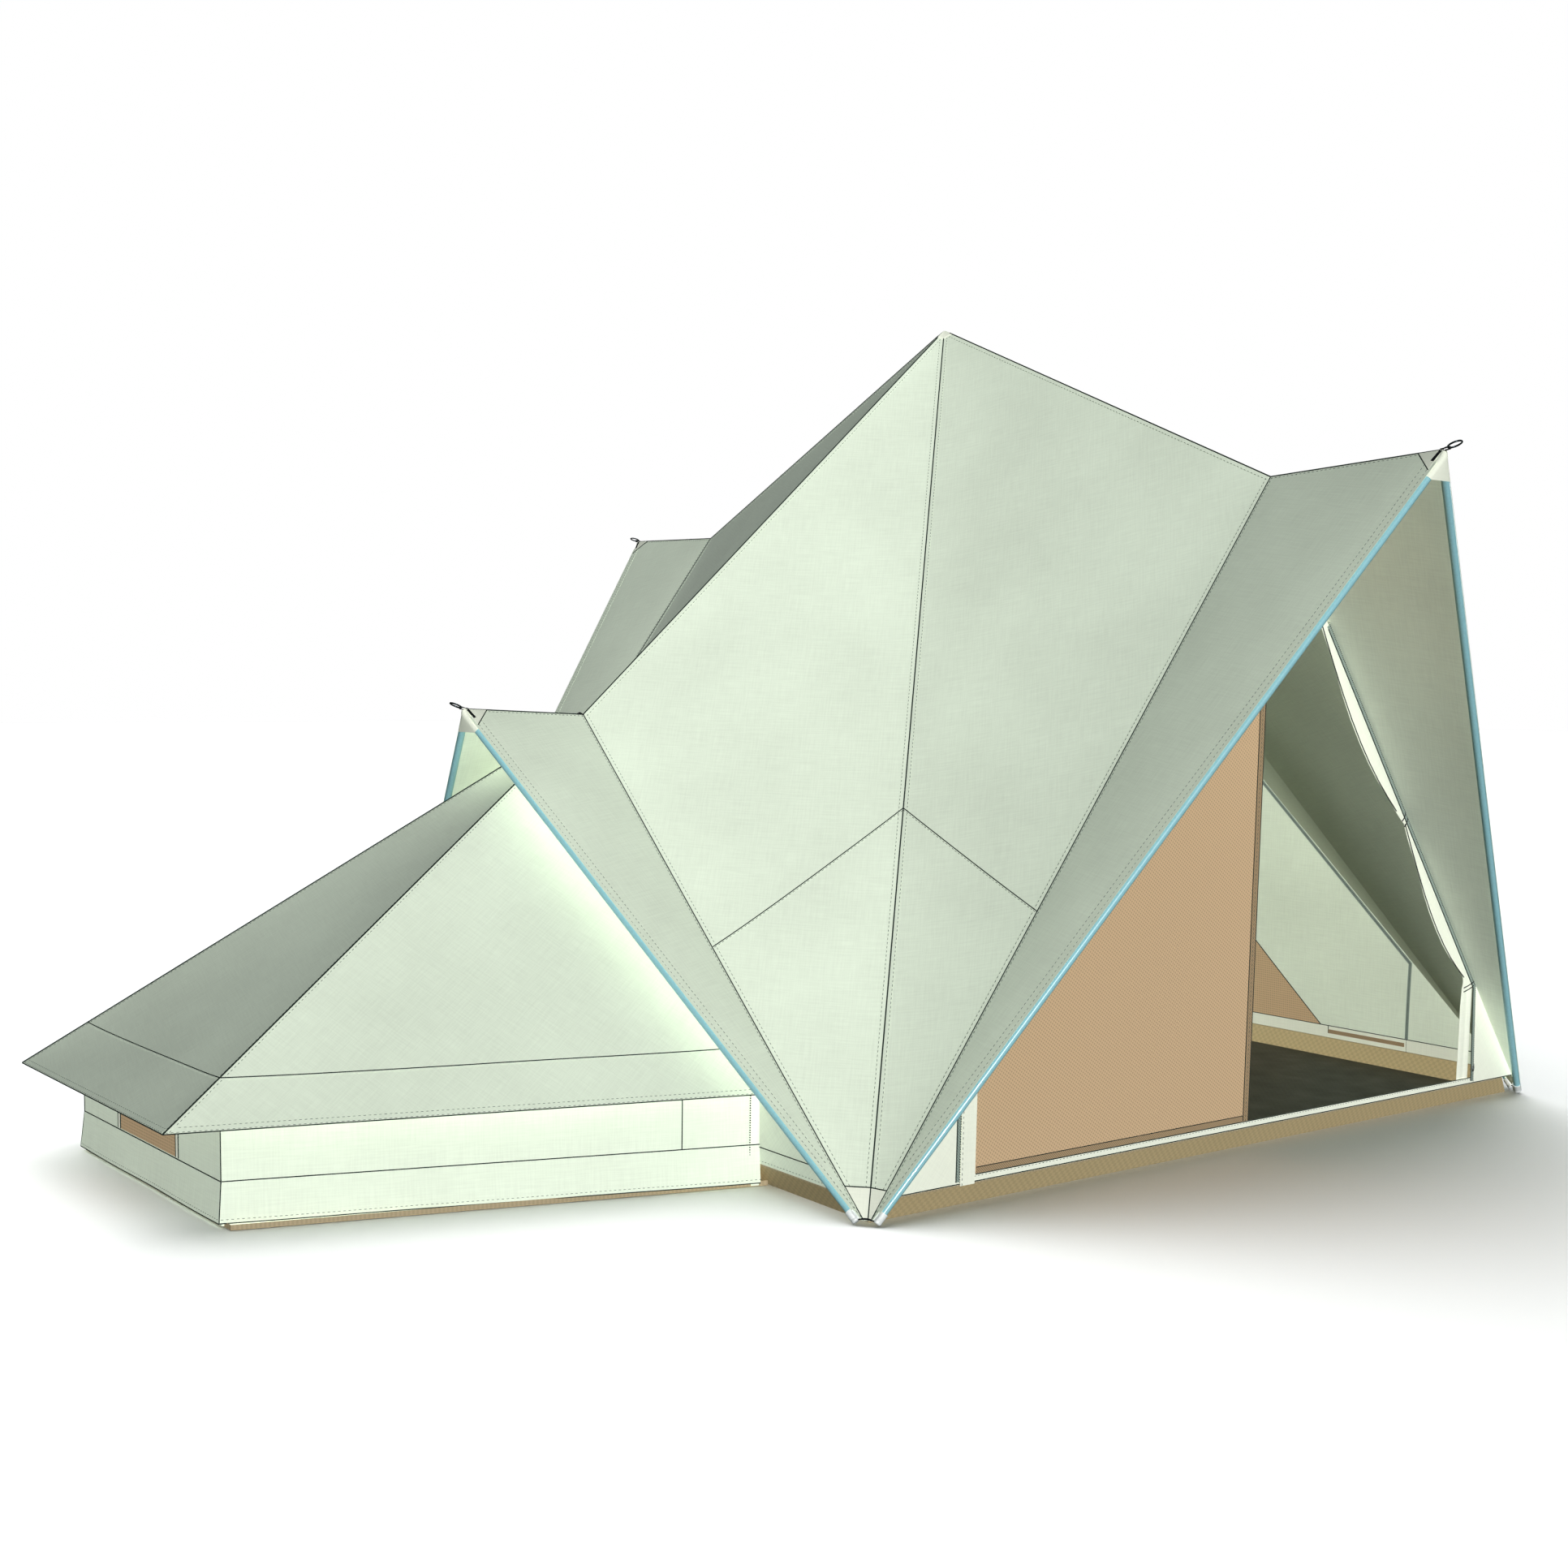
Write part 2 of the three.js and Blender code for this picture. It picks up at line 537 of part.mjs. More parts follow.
/** The annexe: a hipped roof hung under the knee, three low walls, a window and its own groundsheet. */
function buildAnnexe(side) {
  const summit = onWall(side, 0, side.knee.z - ANNEXE_DROP).addScaledVector(side.out, GAP);
  const eaveEnd = (across) => annexeEnd(side, ANNEXE_EAVE, across, ANNEXE_EAVE.z);
  const eaveRoot = (across) => annexeRoot(side, ANNEXE_EAVE, across, ANNEXE_EAVE.z);
  const up = v3(0, 0, 1);
  const roofs = [
    ["front", [summit, eaveRoot(-1), eaveEnd(-1)]],
    ["end", [summit, eaveEnd(-1), eaveEnd(1)]],
    ["back", [summit, eaveEnd(1), eaveRoot(1)]],
  ];
  for (const [label, outline] of roofs) {
    addSheet(`annexe_roof_${label}`, outline, up, COLOURS.canvasLight);
  }

  const hem = SHEET + GAP;
  const top = ANNEXE_EAVE.z + WALL_SPARE;
  const wallEnd = (across, z) => annexeEnd(side, ANNEXE_WALL, across, z);
  const wallRoot = (across, z) => annexeRoot(side, ANNEXE_WALL, across, z);
  for (const [label, across] of [["front", -1], ["back", 1]]) {
    const outline = [wallRoot(across, hem), wallEnd(across, hem), wallEnd(across, top), wallRoot(across, top)];
    addSheet(`annexe_wall_${label}`, outline, v3(0, across, 0), COLOURS.canvasCream);
  }
  const endFrom = wallEnd(-1, hem);
  const endTo = wallEnd(1, hem);
  const endAt = (share, z) => endFrom.clone().lerp(endTo, share).setZ(z);
  const share = ANNEXE_WINDOW.width / endFrom.distanceTo(endTo) / 2;
  const pane = [
    endAt(0.5 - share, ANNEXE_WINDOW.bottom),
    endAt(0.5 + share, ANNEXE_WINDOW.bottom),
    endAt(0.5 + share, ANNEXE_WINDOW.top),
    endAt(0.5 - share, ANNEXE_WINDOW.top),
  ];
  addSheet("annexe_window_mesh", pane, v3(-1, 0, 0), COLOURS.mesh);
  const endWall = [endAt(0, hem), endAt(1, hem), endAt(1, top), endAt(0, top)];
  addSheet("annexe_wall_end", endWall, v3(-1, 0, 0), COLOURS.canvasGreen);

  const floorRoot = (across) => v3(-(FLOOR_HALF_X + ANNEXE_FLOOR.inset), across * ANNEXE_FLOOR.rootHalf, 0);
  const floorEnd = (across) => annexeEnd(side, ANNEXE_FLOOR, across, 0);
  const floor = [floorRoot(-1), floorEnd(-1), floorEnd(1), floorRoot(1)];
  add("annexe_groundsheet", sheetSolid(floor, up, SHEET, SHEET), COLOURS.groundsheet, 0.7);
}

const [frontSide, backSide, leftSide, rightSide] = SIDES;
buildRoof();
buildFrontWall(frontSide);
buildClosedWall(backSide, COLOURS.canvasCream);
buildArchWall(leftSide);
buildClosedWall(rightSide, COLOURS.canvasGreen);
buildPorches();
buildAnnexe(leftSide);
buildGroundsheet();
buildFrames();
buildCentrePole();

export default group;
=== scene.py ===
"""Canvas pyramid tent with four pole-framed porches and a low sleeping annexe.

Sizes are in millimetres and are turned to metres where a mesh is made. +Z is up, the door faces -Y and
the annexe faces -X.
"""
import logging
import math
from dataclasses import dataclass, field
from enum import Enum
from typing import Callable, Iterable, Optional, Sequence

import bpy
from mathutils import Matrix, Vector, noise
from mathutils.geometry import delaunay_2d_cdt


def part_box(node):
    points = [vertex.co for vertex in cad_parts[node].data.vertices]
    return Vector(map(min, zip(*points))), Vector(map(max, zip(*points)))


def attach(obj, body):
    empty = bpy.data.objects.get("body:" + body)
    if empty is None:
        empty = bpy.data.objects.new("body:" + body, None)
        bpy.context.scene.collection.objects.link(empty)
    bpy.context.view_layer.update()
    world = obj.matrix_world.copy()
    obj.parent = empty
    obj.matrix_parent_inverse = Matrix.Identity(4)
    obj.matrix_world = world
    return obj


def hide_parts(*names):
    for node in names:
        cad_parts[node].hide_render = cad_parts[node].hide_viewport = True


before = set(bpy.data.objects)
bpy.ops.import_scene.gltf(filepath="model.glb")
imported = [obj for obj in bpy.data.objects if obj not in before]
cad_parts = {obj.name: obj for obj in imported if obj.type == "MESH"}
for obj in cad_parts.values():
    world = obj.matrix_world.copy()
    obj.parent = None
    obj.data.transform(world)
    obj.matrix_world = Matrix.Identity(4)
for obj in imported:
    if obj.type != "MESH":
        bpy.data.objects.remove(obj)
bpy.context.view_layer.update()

LOG = logging.getLogger("tent")
MM = 0.001
UP = Vector((0, 0, 1))
Path = list[Vector]


class Slot(Enum):
    """The record's material slots."""

    ROOF = "canvas_roof"
    PORCH = "canvas_porch"
    WALL = "canvas_wall"
    NET = "insect_mesh"
    GROUND = "groundsheet"
    TUBE = "pole_tube"
    WHITE = "white_plastic"
    WEB = "webbing"
    RING = "ring_metal"
    ZIP = "zip_metal"
    RUBBER = "rubber"
    BLACK = "black_plastic"


class Body(Enum):
    """The rigid bodies that pieces ride on."""

    TENT = "tent"
    POLE = "pole_upper"
    DOOR = "door"
    SLIDER = "zip_slider"
    RING_FRONT = "ring_front"
    RING_BACK = "ring_back"
    RING_LEFT = "ring_left"
    RING_RIGHT = "ring_right"


class Hold(Enum):
    """How a sheet of cloth is held."""

    STRETCHED = "stretched"
    HUNG = "hung"
    LAID = "laid"
    FOLDED = "folded"


def linear(hex_colour: str) -> tuple[float, float, float, float]:
    """Turn an sRGB hex value into a linear colour.

    Args:
        hex_colour: six hex digits.

    Returns:
        Red, green, blue and alpha.
    """
    parts = [int(hex_colour[i:i + 2], 16) / 255 for i in (0, 2, 4)]
    values = [c / 12.92 if c <= 0.04045 else ((c + 0.055) / 1.055) ** 2.4 for c in parts]
    return (*values, 1.0)


def add_node(tree: bpy.types.NodeTree, kind: str, values: Optional[dict] = None,
             links: Optional[dict] = None, **settings: object) -> bpy.types.Node:
    """Add a node with its settings, socket values and incoming links.

    Args:
        tree: the tree that gets the node.
        kind: the node's type.
        values: socket values by name or index.
        links: output sockets of other nodes by input name or index.
        settings: attributes of the node.

    Returns:
        The new node.
    """
    made = tree.nodes.new(kind)
    for name, value in settings.items():
        setattr(made, name, value)
    for name, value in (values or {}).items():
        made.inputs[name].default_value = value
    for name, socket in (links or {}).items():
        tree.links.new(socket, made.inputs[name])
    return made


@dataclass(frozen=True)
class Finish:
    """A material: what it is called and the plain facts of its surface."""

    name: str
    colour: str
    roughness: float = 0.6
    specular: float = 0.5
    metallic: float = 0.0
    sheen: float = 0.0
    coat: float = 0.0

    def material(self) -> bpy.types.Material:
        """The finished material, made once."""
        known = bpy.data.materials.get(self.name)
        if known:
            return known
        made = bpy.data.materials.new(self.name)
        made.use_nodes = True
        tree = made.node_tree
        shader = tree.nodes["Principled BSDF"]
        shader.inputs["Base Color"].default_value = linear(self.colour)
        shader.inputs["Roughness"].default_value = self.roughness
        shader.inputs["Specular IOR Level"].default_value = self.specular
        shader.inputs["Metallic"].default_value = self.metallic
        shader.inputs["Sheen Weight"].default_value = self.sheen
        shader.inputs["Coat Weight"].default_value = self.coat
        self.dress(tree, shader)
        made.diffuse_color = linear(self.colour)
        return made

    def dress(self, tree: bpy.types.NodeTree, shader: bpy.types.Node) -> None:
        """Add the surface's pattern. A plain finish gets a fine mottle in colour and relief."""
        place = add_node(tree, "ShaderNodeTexCoord")
        mottle = add_node(tree, "ShaderNodeTexNoise", {"Scale": 160.0, "Detail": 3.0},
                          {"Vector": place.outputs["Object"]})
        tint = add_node(tree, "ShaderNodeMix", {6: linear(self.colour), 7: linear(self.shade(0.9))},
                        {0: mottle.outputs["Fac"]}, data_type="RGBA")
        bump = add_node(tree, "ShaderNodeBump", {"Strength": 0.25, "Distance": 0.0002},
                        {"Height": mottle.outputs["Fac"]})
        tree.links.new(tint.outputs[2], shader.inputs["Base Color"])
        tree.links.new(bump.outputs["Normal"], shader.inputs["Normal"])

    def shade(self, share: float) -> str:
        """The colour made darker or lighter by a share, as hex."""
        parts = [int(self.colour[i:i + 2], 16) for i in (0, 2, 4)]
        return "".join(f"{min(255, round(part * share)):02x}" for part in parts)


@dataclass(frozen=True)
class Canvas(Finish):
    """Proofed polycotton canvas, plain woven: matt, with slubs in both threads and soft creases."""

    roughness: float = 0.88
    specular: float = 0.25
    sheen: float = 0.12
    # Yarns of 0.5 mm are too fine to show, so the slubs are drawn 5 mm wide and 90 mm long.
    slub_wide: float = 5.0
    slub_long: float = 90.0
    crease: float = 170.0
    contrast: float = 0.94
    relief: float = 0.0016

    def dress(self, tree: bpy.types.NodeTree, shader: bpy.types.Node) -> None:
        """Add slubs along both threads, a slow cloudiness of the dye, and creases."""
        place = add_node(tree, "ShaderNodeTexCoord")
        threads = []
        for wide, long in ((self.slub_wide, self.slub_long), (self.slub_long, self.slub_wide)):
            stretch = add_node(tree, "ShaderNodeMapping", {"Scale": (1 / (wide * MM), 1 / (long * MM), 1.0)},
                               {"Vector": place.outputs["UV"]})
            threads.append(add_node(tree, "ShaderNodeTexNoise", {"Scale": 1.0, "Detail": 2.0},
                                    {"Vector": stretch.outputs["Vector"]}))
        weave = add_node(tree, "ShaderNodeMath", {}, {0: threads[0].outputs["Fac"],
                                                      1: threads[1].outputs["Fac"]}, operation="ADD")
        cloud = add_node(tree, "ShaderNodeTexNoise", {"Scale": 2.2, "Detail": 3.0},
                         {"Vector": place.outputs["Object"]})
        both = add_node(tree, "ShaderNodeMath", {1: 0.6}, {0: weave.outputs[0], 2: cloud.outputs["Fac"]},
                        operation="MULTIPLY_ADD")
        spread = add_node(tree, "ShaderNodeMapRange", {"From Min": 0.75, "From Max": 1.45},
                          {"Value": both.outputs[0]})
        tint = add_node(tree, "ShaderNodeMix",
                        {6: linear(self.shade(self.contrast)), 7: linear(self.colour)},
                        {0: spread.outputs["Result"]}, data_type="RGBA")
        crease = add_node(tree, "ShaderNodeTexNoise",
                          {"Scale": 1 / (self.crease * MM), "Detail": 2.0, "Distortion": 0.6},
                          {"Vector": place.outputs["Object"]})
        folds = add_node(tree, "ShaderNodeBump", {"Strength": 0.5, "Distance": self.relief},
                         {"Height": crease.outputs["Fac"]})
        grain = add_node(tree, "ShaderNodeBump", {"Strength": 0.5, "Distance": 0.0003},
                         {"Height": weave.outputs[0], "Normal": folds.outputs["Normal"]})
        tree.links.new(tint.outputs[2], shader.inputs["Base Color"])
        tree.links.new(grain.outputs["Normal"], shader.inputs["Normal"])


@dataclass(frozen=True)
class Net(Finish):
    """Knitted polyester insect net over a lining: even little holes in rows."""

    roughness: float = 0.8
    specular: float = 0.2
    # Holes of 1.2 mm are too fine to show, so they are drawn 9 mm apart.
    pitch: float = 9.0
    hole: float = 0.84

    def dress(self, tree: bpy.types.NodeTree, shader: bpy.types.Node) -> None:
        """Add two crossed sets of threads with darker holes between them."""
        place = add_node(tree, "ShaderNodeTexCoord")
        bands = [add_node(tree, "ShaderNodeTexWave", {"Scale": math.pi / 10 / (self.pitch * MM)},
                          {"Vector": place.outputs["UV"]}, bands_direction=way) for way in ("X", "Y")]
        holes = add_node(tree, "ShaderNodeMath", {}, {0: bands[0].outputs["Fac"], 1: bands[1].outputs["Fac"]},
                         operation="MULTIPLY")
        tint = add_node(tree, "ShaderNodeMix", {6: linear(self.colour), 7: linear(self.shade(self.hole))},
                        {0: holes.outputs[0]}, data_type="RGBA")
        bump = add_node(tree, "ShaderNodeBump", {"Strength": 0.4, "Distance": 0.0004},
                        {"Height": holes.outputs[0]}, invert=True)
        tree.links.new(tint.outputs[2], shader.inputs["Base Color"])
        tree.links.new(bump.outputs["Normal"], shader.inputs["Normal"])


@dataclass(frozen=True)
class Tarpaulin(Finish):
    """Coated polyethylene groundsheet: a half-gloss skin over flat woven tapes."""

    roughness: float = 0.5
    specular: float = 0.4
    # The woven tapes are 3 mm wide and are drawn 12 mm apart to show.
    pitch: float = 12.0

    def dress(self, tree: bpy.types.NodeTree, shader: bpy.types.Node) -> None:
        """Add the tapes' weave, scuffs in the gloss and soft puckers."""
        place = add_node(tree, "ShaderNodeTexCoord")
        tapes = add_node(tree, "ShaderNodeTexChecker",
                         {"Scale": 1 / (self.pitch * MM), "Color1": linear(self.colour),
                          "Color2": linear(self.shade(0.95))}, {"Vector": place.outputs["UV"]})
        scuff = add_node(tree, "ShaderNodeTexNoise", {"Scale": 9.0, "Detail": 5.0},
                         {"Vector": place.outputs["Object"]})
        gloss = add_node(tree, "ShaderNodeMapRange", {"To Min": 0.4, "To Max": 0.7},
                         {"Value": scuff.outputs["Fac"]})
        pucker = add_node(tree, "ShaderNodeBump", {"Strength": 0.5, "Distance": 0.002},
                          {"Height": scuff.outputs["Fac"]})
        weave = add_node(tree, "ShaderNodeBump", {"Strength": 0.3, "Distance": 0.0003},
                         {"Height": tapes.outputs["Fac"], "Normal": pucker.outputs["Normal"]})
        tree.links.new(tapes.outputs["Color"], shader.inputs["Base Color"])
        tree.links.new(gloss.outputs["Result"], shader.inputs["Roughness"])
        tree.links.new(weave.outputs["Normal"], shader.inputs["Normal"])


@dataclass(frozen=True)
class Tape(Finish):
    """Woven polypropylene tape: ribs across a narrow band."""

    roughness: float = 0.7
    specular: float = 0.3
    # Ribs are 1.5 mm apart, and drawn 4 mm apart to show.
    rib: float = 4.0

    def dress(self, tree: bpy.types.NodeTree, shader: bpy.types.Node) -> None:
        """Add slanted ribs to the relief and the colour."""
        place = add_node(tree, "ShaderNodeTexCoord")
        ribs = add_node(tree, "ShaderNodeTexWave", {"Scale": math.pi / 10 / (self.rib * MM)},
                        {"Vector": place.outputs["Object"]}, bands_direction="DIAGONAL")
        tint = add_node(tree, "ShaderNodeMix", {6: linear(self.colour), 7: linear(self.shade(0.8))},
                        {0: ribs.outputs["Fac"]}, data_type="RGBA")
        bump = add_node(tree, "ShaderNodeBump", {"Strength": 0.5, "Distance": 0.0005},
                        {"Height": ribs.outputs["Fac"]})
        tree.links.new(tint.outputs[2], shader.inputs["Base Color"])
        tree.links.new(bump.outputs["Normal"], shader.inputs["Normal"])


CANVAS = Canvas("polycotton_canvas_sage_cream", "ebf3e3")
CANVAS_PATCH = Canvas("polycotton_canvas_patch", "f2f4e6", contrast=0.96)
NET = Net("insect_net_tan", "d3b999")
NET_BINDING = Tape("net_binding_tape_tan", "b9a284")
GROUND = Tarpaulin("polyethylene_groundsheet_brown", "c6b48f")
# Painted shade: the groundsheet floor is coloured near black to stand for the shade inside the tent.
FLOOR_PAINTED_SHADE = Tarpaulin("polyethylene_floor_painted_shade", "4a4b42")
GROUND_RIM = Tarpaulin("groundsheet_rim_tape", "b3a488", pitch=6.0)
TUBE = Finish("powder_coated_steel_pale_blue", "a5d2da", 0.32, 0.5, coat=0.2)
CAP = Finish("moulded_nylon_white", "f3f6f5", 0.42)
WEBBING = Tape("polypropylene_webbing_black", "26292b")
ZIP_TAPE = Tape("zip_tape_grey_green", "a3b0a8")
THREAD = Finish("polyester_thread_sage", "5d6a61", 0.75, 0.3)
PIPING = Finish("corded_seam_dark_sage", "39443f", 0.8, 0.2)
ZIP_COIL = Finish("nylon_zip_coil_black", "17191a", 0.4)
RING_STEEL = Finish("blackened_steel", "3b4549", 0.34, 0.5, metallic=0.8)
SLIDER_ZINC = Finish("cast_zinc_nickel_plated", "b9bdbf", 0.3, 0.5, metallic=1.0)
RUBBER = Finish("moulded_rubber_black", "2b2b2b", 0.82, 0.3)
BLACK_NYLON = Finish("moulded_nylon_black", "202325", 0.45)


@dataclass
class Shape:
    """Loose geometry in millimetres: points, faces, and a flat coordinate for each face corner."""

    points: Path = field(default_factory=list)
    faces: list[tuple[int, ...]] = field(default_factory=list)
    flats: list[tuple[tuple[float, float], ...]] = field(default_factory=list)

    def join(self, *others: "Shape") -> "Shape":
        """Take in other shapes.

        Args:
            others: the shapes to add to this one.

        Returns:
            This shape.
        """
        for other in others:
            start = len(self.points)
            self.points += other.points
            self.faces += [tuple(i + start for i in face) for face in other.faces]
            self.flats += other.flats
        return self

    def piece(self, name: str, finish: Finish, slot: Slot, body: Body = Body.TENT,
              stands_for: Sequence[str] = (), crease: float = 38.0) -> bpy.types.Object:
        """Make the named object.

        Args:
            name: the piece's name.
            finish: its material.
            slot: not used.
            body: the body that it rides on.
            stands_for: the CAD nodes that it replaces.
            crease: the angle, in degrees, past which an edge is sharp.

        Returns:
            The new object.
        """
        mesh = bpy.data.meshes.new(name)
        mesh.from_pydata([point * MM for point in self.points], [], self.faces)
        layer = mesh.uv_layers.new(name="cloth")
        flat = [value * MM for corners in self.flats for pair in corners for value in pair]
        layer.data.foreach_set("uv", flat)
        mesh.polygons.foreach_set("use_smooth", [True] * len(mesh.polygons))
        mesh.set_sharp_from_angle(angle=math.radians(crease))
        made = bpy.data.objects.new(name, mesh)
        bpy.context.scene.collection.objects.link(made)
        return settle(made, finish, body, stands_for)


def settle(piece: bpy.types.Object, finish: Finish, body: Body,
           stands_for: Sequence[str] = ()) -> bpy.types.Object:
    """Give a piece its material and body, and report it."""
    piece.data.materials.clear()
    piece.data.materials.append(finish.material())
    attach(piece, body.value)
    if stands_for:
        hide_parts(*stands_for)
    LOG.info("made %s: %d faces", piece.name, len(piece.data.polygons))
    return piece


def sweep(path: Path, section: Sequence[tuple[float, float]], side: Vector, closed: bool = False,
          sizes: Optional[Sequence[float]] = None) -> Shape:
    """Carry a closed section along a path.

    Args:
        path: the points that it follows.
        section: the section's corners, counter-clockwise, as (sideways, upwards).
        side: roughly the direction of the section's first axis.
        closed: whether the path is a loop.
        sizes: the section's scale at each point.

    Returns:
        The closed solid.
    """
    shape = Shape()
    count = len(path)
    around = len(section)
    travelled = 0.0
    lengths = []
    for i, point in enumerate(path):
        before = path[i - 1] if i or closed else path[0]
        after = path[(i + 1) % count] if i < count - 1 or closed else path[-1]
        along = (after - before).normalized()
        across = (side - along * side.dot(along)).normalized()
        over = along.cross(across)
        size = sizes[i] if sizes else 1.0
        shape.points += [point + across * (x * size) + over * (y * size) for x, y in section]
        travelled += (point - path[i - 1]).length if i else 0.0
        lengths.append(travelled)
    rims = count if closed else count - 1
    for i in range(rims):
        for j in range(around):
            k = (j + 1) % around
            n = (i + 1) % count
            face = (i * around + j, i * around + k, n * around + k, n * around + j)
            shape.faces.append(face)
            far = lengths[i] + 20.0 if n < i else lengths[n]
            shape.flats.append(((j * 2.0, lengths[i]), (j * 2.0 + 2.0, lengths[i]),
                                (j * 2.0 + 2.0, far), (j * 2.0, far)))
    if not closed:
        for face in (tuple(reversed(range(around))), tuple((count - 1) * around + j for j in range(around))):
            shape.faces.append(face)
            shape.flats.append(tuple((float(j), 0.0) for j in range(around)))
    return shape


def turned(profile: Sequence[tuple[float, float]], foot: Vector, along: Vector, sides: int = 40,
           ring: bool = False) -> Shape:
    """Turn a profile about an axis.

    Args:
        profile: (radius, distance) points, from the foot end to the far end on the outside.
        foot: where the axis starts.
        along: the axis direction.
        sides: how many faces go round.
        ring: whether the profile is a closed loop, as for a tube, and doesn't reach the axis.

    Returns:
        The closed solid.
    """
    axis = along.normalized()
    first = axis.orthogonal().normalized()
    second = axis.cross(first)
    shape = Shape()
    rows = []
    for radius, distance in profile:
        start = len(shape.points)
        if radius <= 0.0:
            shape.points.append(foot + axis * distance)
            rows.append([start] * sides)
            continue
        for i in range(sides):
            turn = 2 * math.pi * i / sides
            around = first * math.cos(turn) + second * math.sin(turn)
            shape.points.append(foot + axis * distance + around * radius)
        rows.append(list(range(start, start + sides)))
    pairs = list(zip(range(len(rows)), range(1, len(rows))))
    if ring:
        pairs.append((len(rows) - 1, 0))
    for low, high in pairs:
        for i in range(sides):
            j = (i + 1) % sides
            face = list(dict.fromkeys((rows[low][i], rows[low][j], rows[high][j], rows[high][i])))
            if len(face) < 3:
                continue
            shape.faces.append(tuple(face))
            shape.flats.append(tuple((i * 2.0, profile[low][1]) for _ in face))
    return shape


def round_section(radius: float, sides: int = 16) -> list[tuple[float, float]]:
    """The corners of a circle."""
    return [(radius * math.cos(2 * math.pi * i / sides), radius * math.sin(2 * math.pi * i / sides))
            for i in range(sides)]


def band_section(width: float, thick: float) -> list[tuple[float, float]]:
    """The corners of a flat band with softened edges."""
    half, deep, soft = width / 2, thick / 2, thick / 4
    return [(-half + soft, -deep), (half - soft, -deep), (half, -deep + soft), (half, deep - soft),
            (half - soft, deep), (-half + soft, deep), (-half, deep - soft), (-half, -deep + soft)]


def ribbon(line: Sequence[Vector], width: float) -> list[Vector]:
    """The outline of a band of a width that follows a flat line, mitred at its bends."""
    sides: list[list[Vector]] = [[], []]
    for i, point in enumerate(line):
        before = (point - line[i - 1]).normalized() if i else None
        after = (line[i + 1] - point).normalized() if i < len(line) - 1 else None
        along = (((before or after) + (after or before)) / 2).normalized()
        out = Vector((-along.y, along.x))
        reach = width / 2 / max(0.3, along.dot(before or after))
        sides[0].append(point + out * reach)
        sides[1].append(point - out * reach)
    return sides[1] + sides[0][::-1]


def flat_area(outline: Sequence[Vector]) -> float:
    """The signed area inside a flat outline."""
    pairs = zip(outline, [*outline[1:], outline[0]])
    return sum(a.x * b.y - a.y * b.x for a, b in pairs) / 2


def is_inside(point: Vector, outline: Sequence[Vector], margin: float) -> bool:
    """Whether a flat point lies inside an outline and at least a margin from its edges."""
    inside = False
    for a, b in zip(outline, [*outline[1:], outline[0]]):
        edge = b - a
        share = max(0.0, min(1.0, (point - a).dot(edge) / edge.length_squared))
        if (a + edge * share - point).length < margin:
            return False
        if (a.y > point.y) != (b.y > point.y) and point.x < a.x + edge.x * (point.y - a.y) / edge.y:
            inside = not inside
    return inside


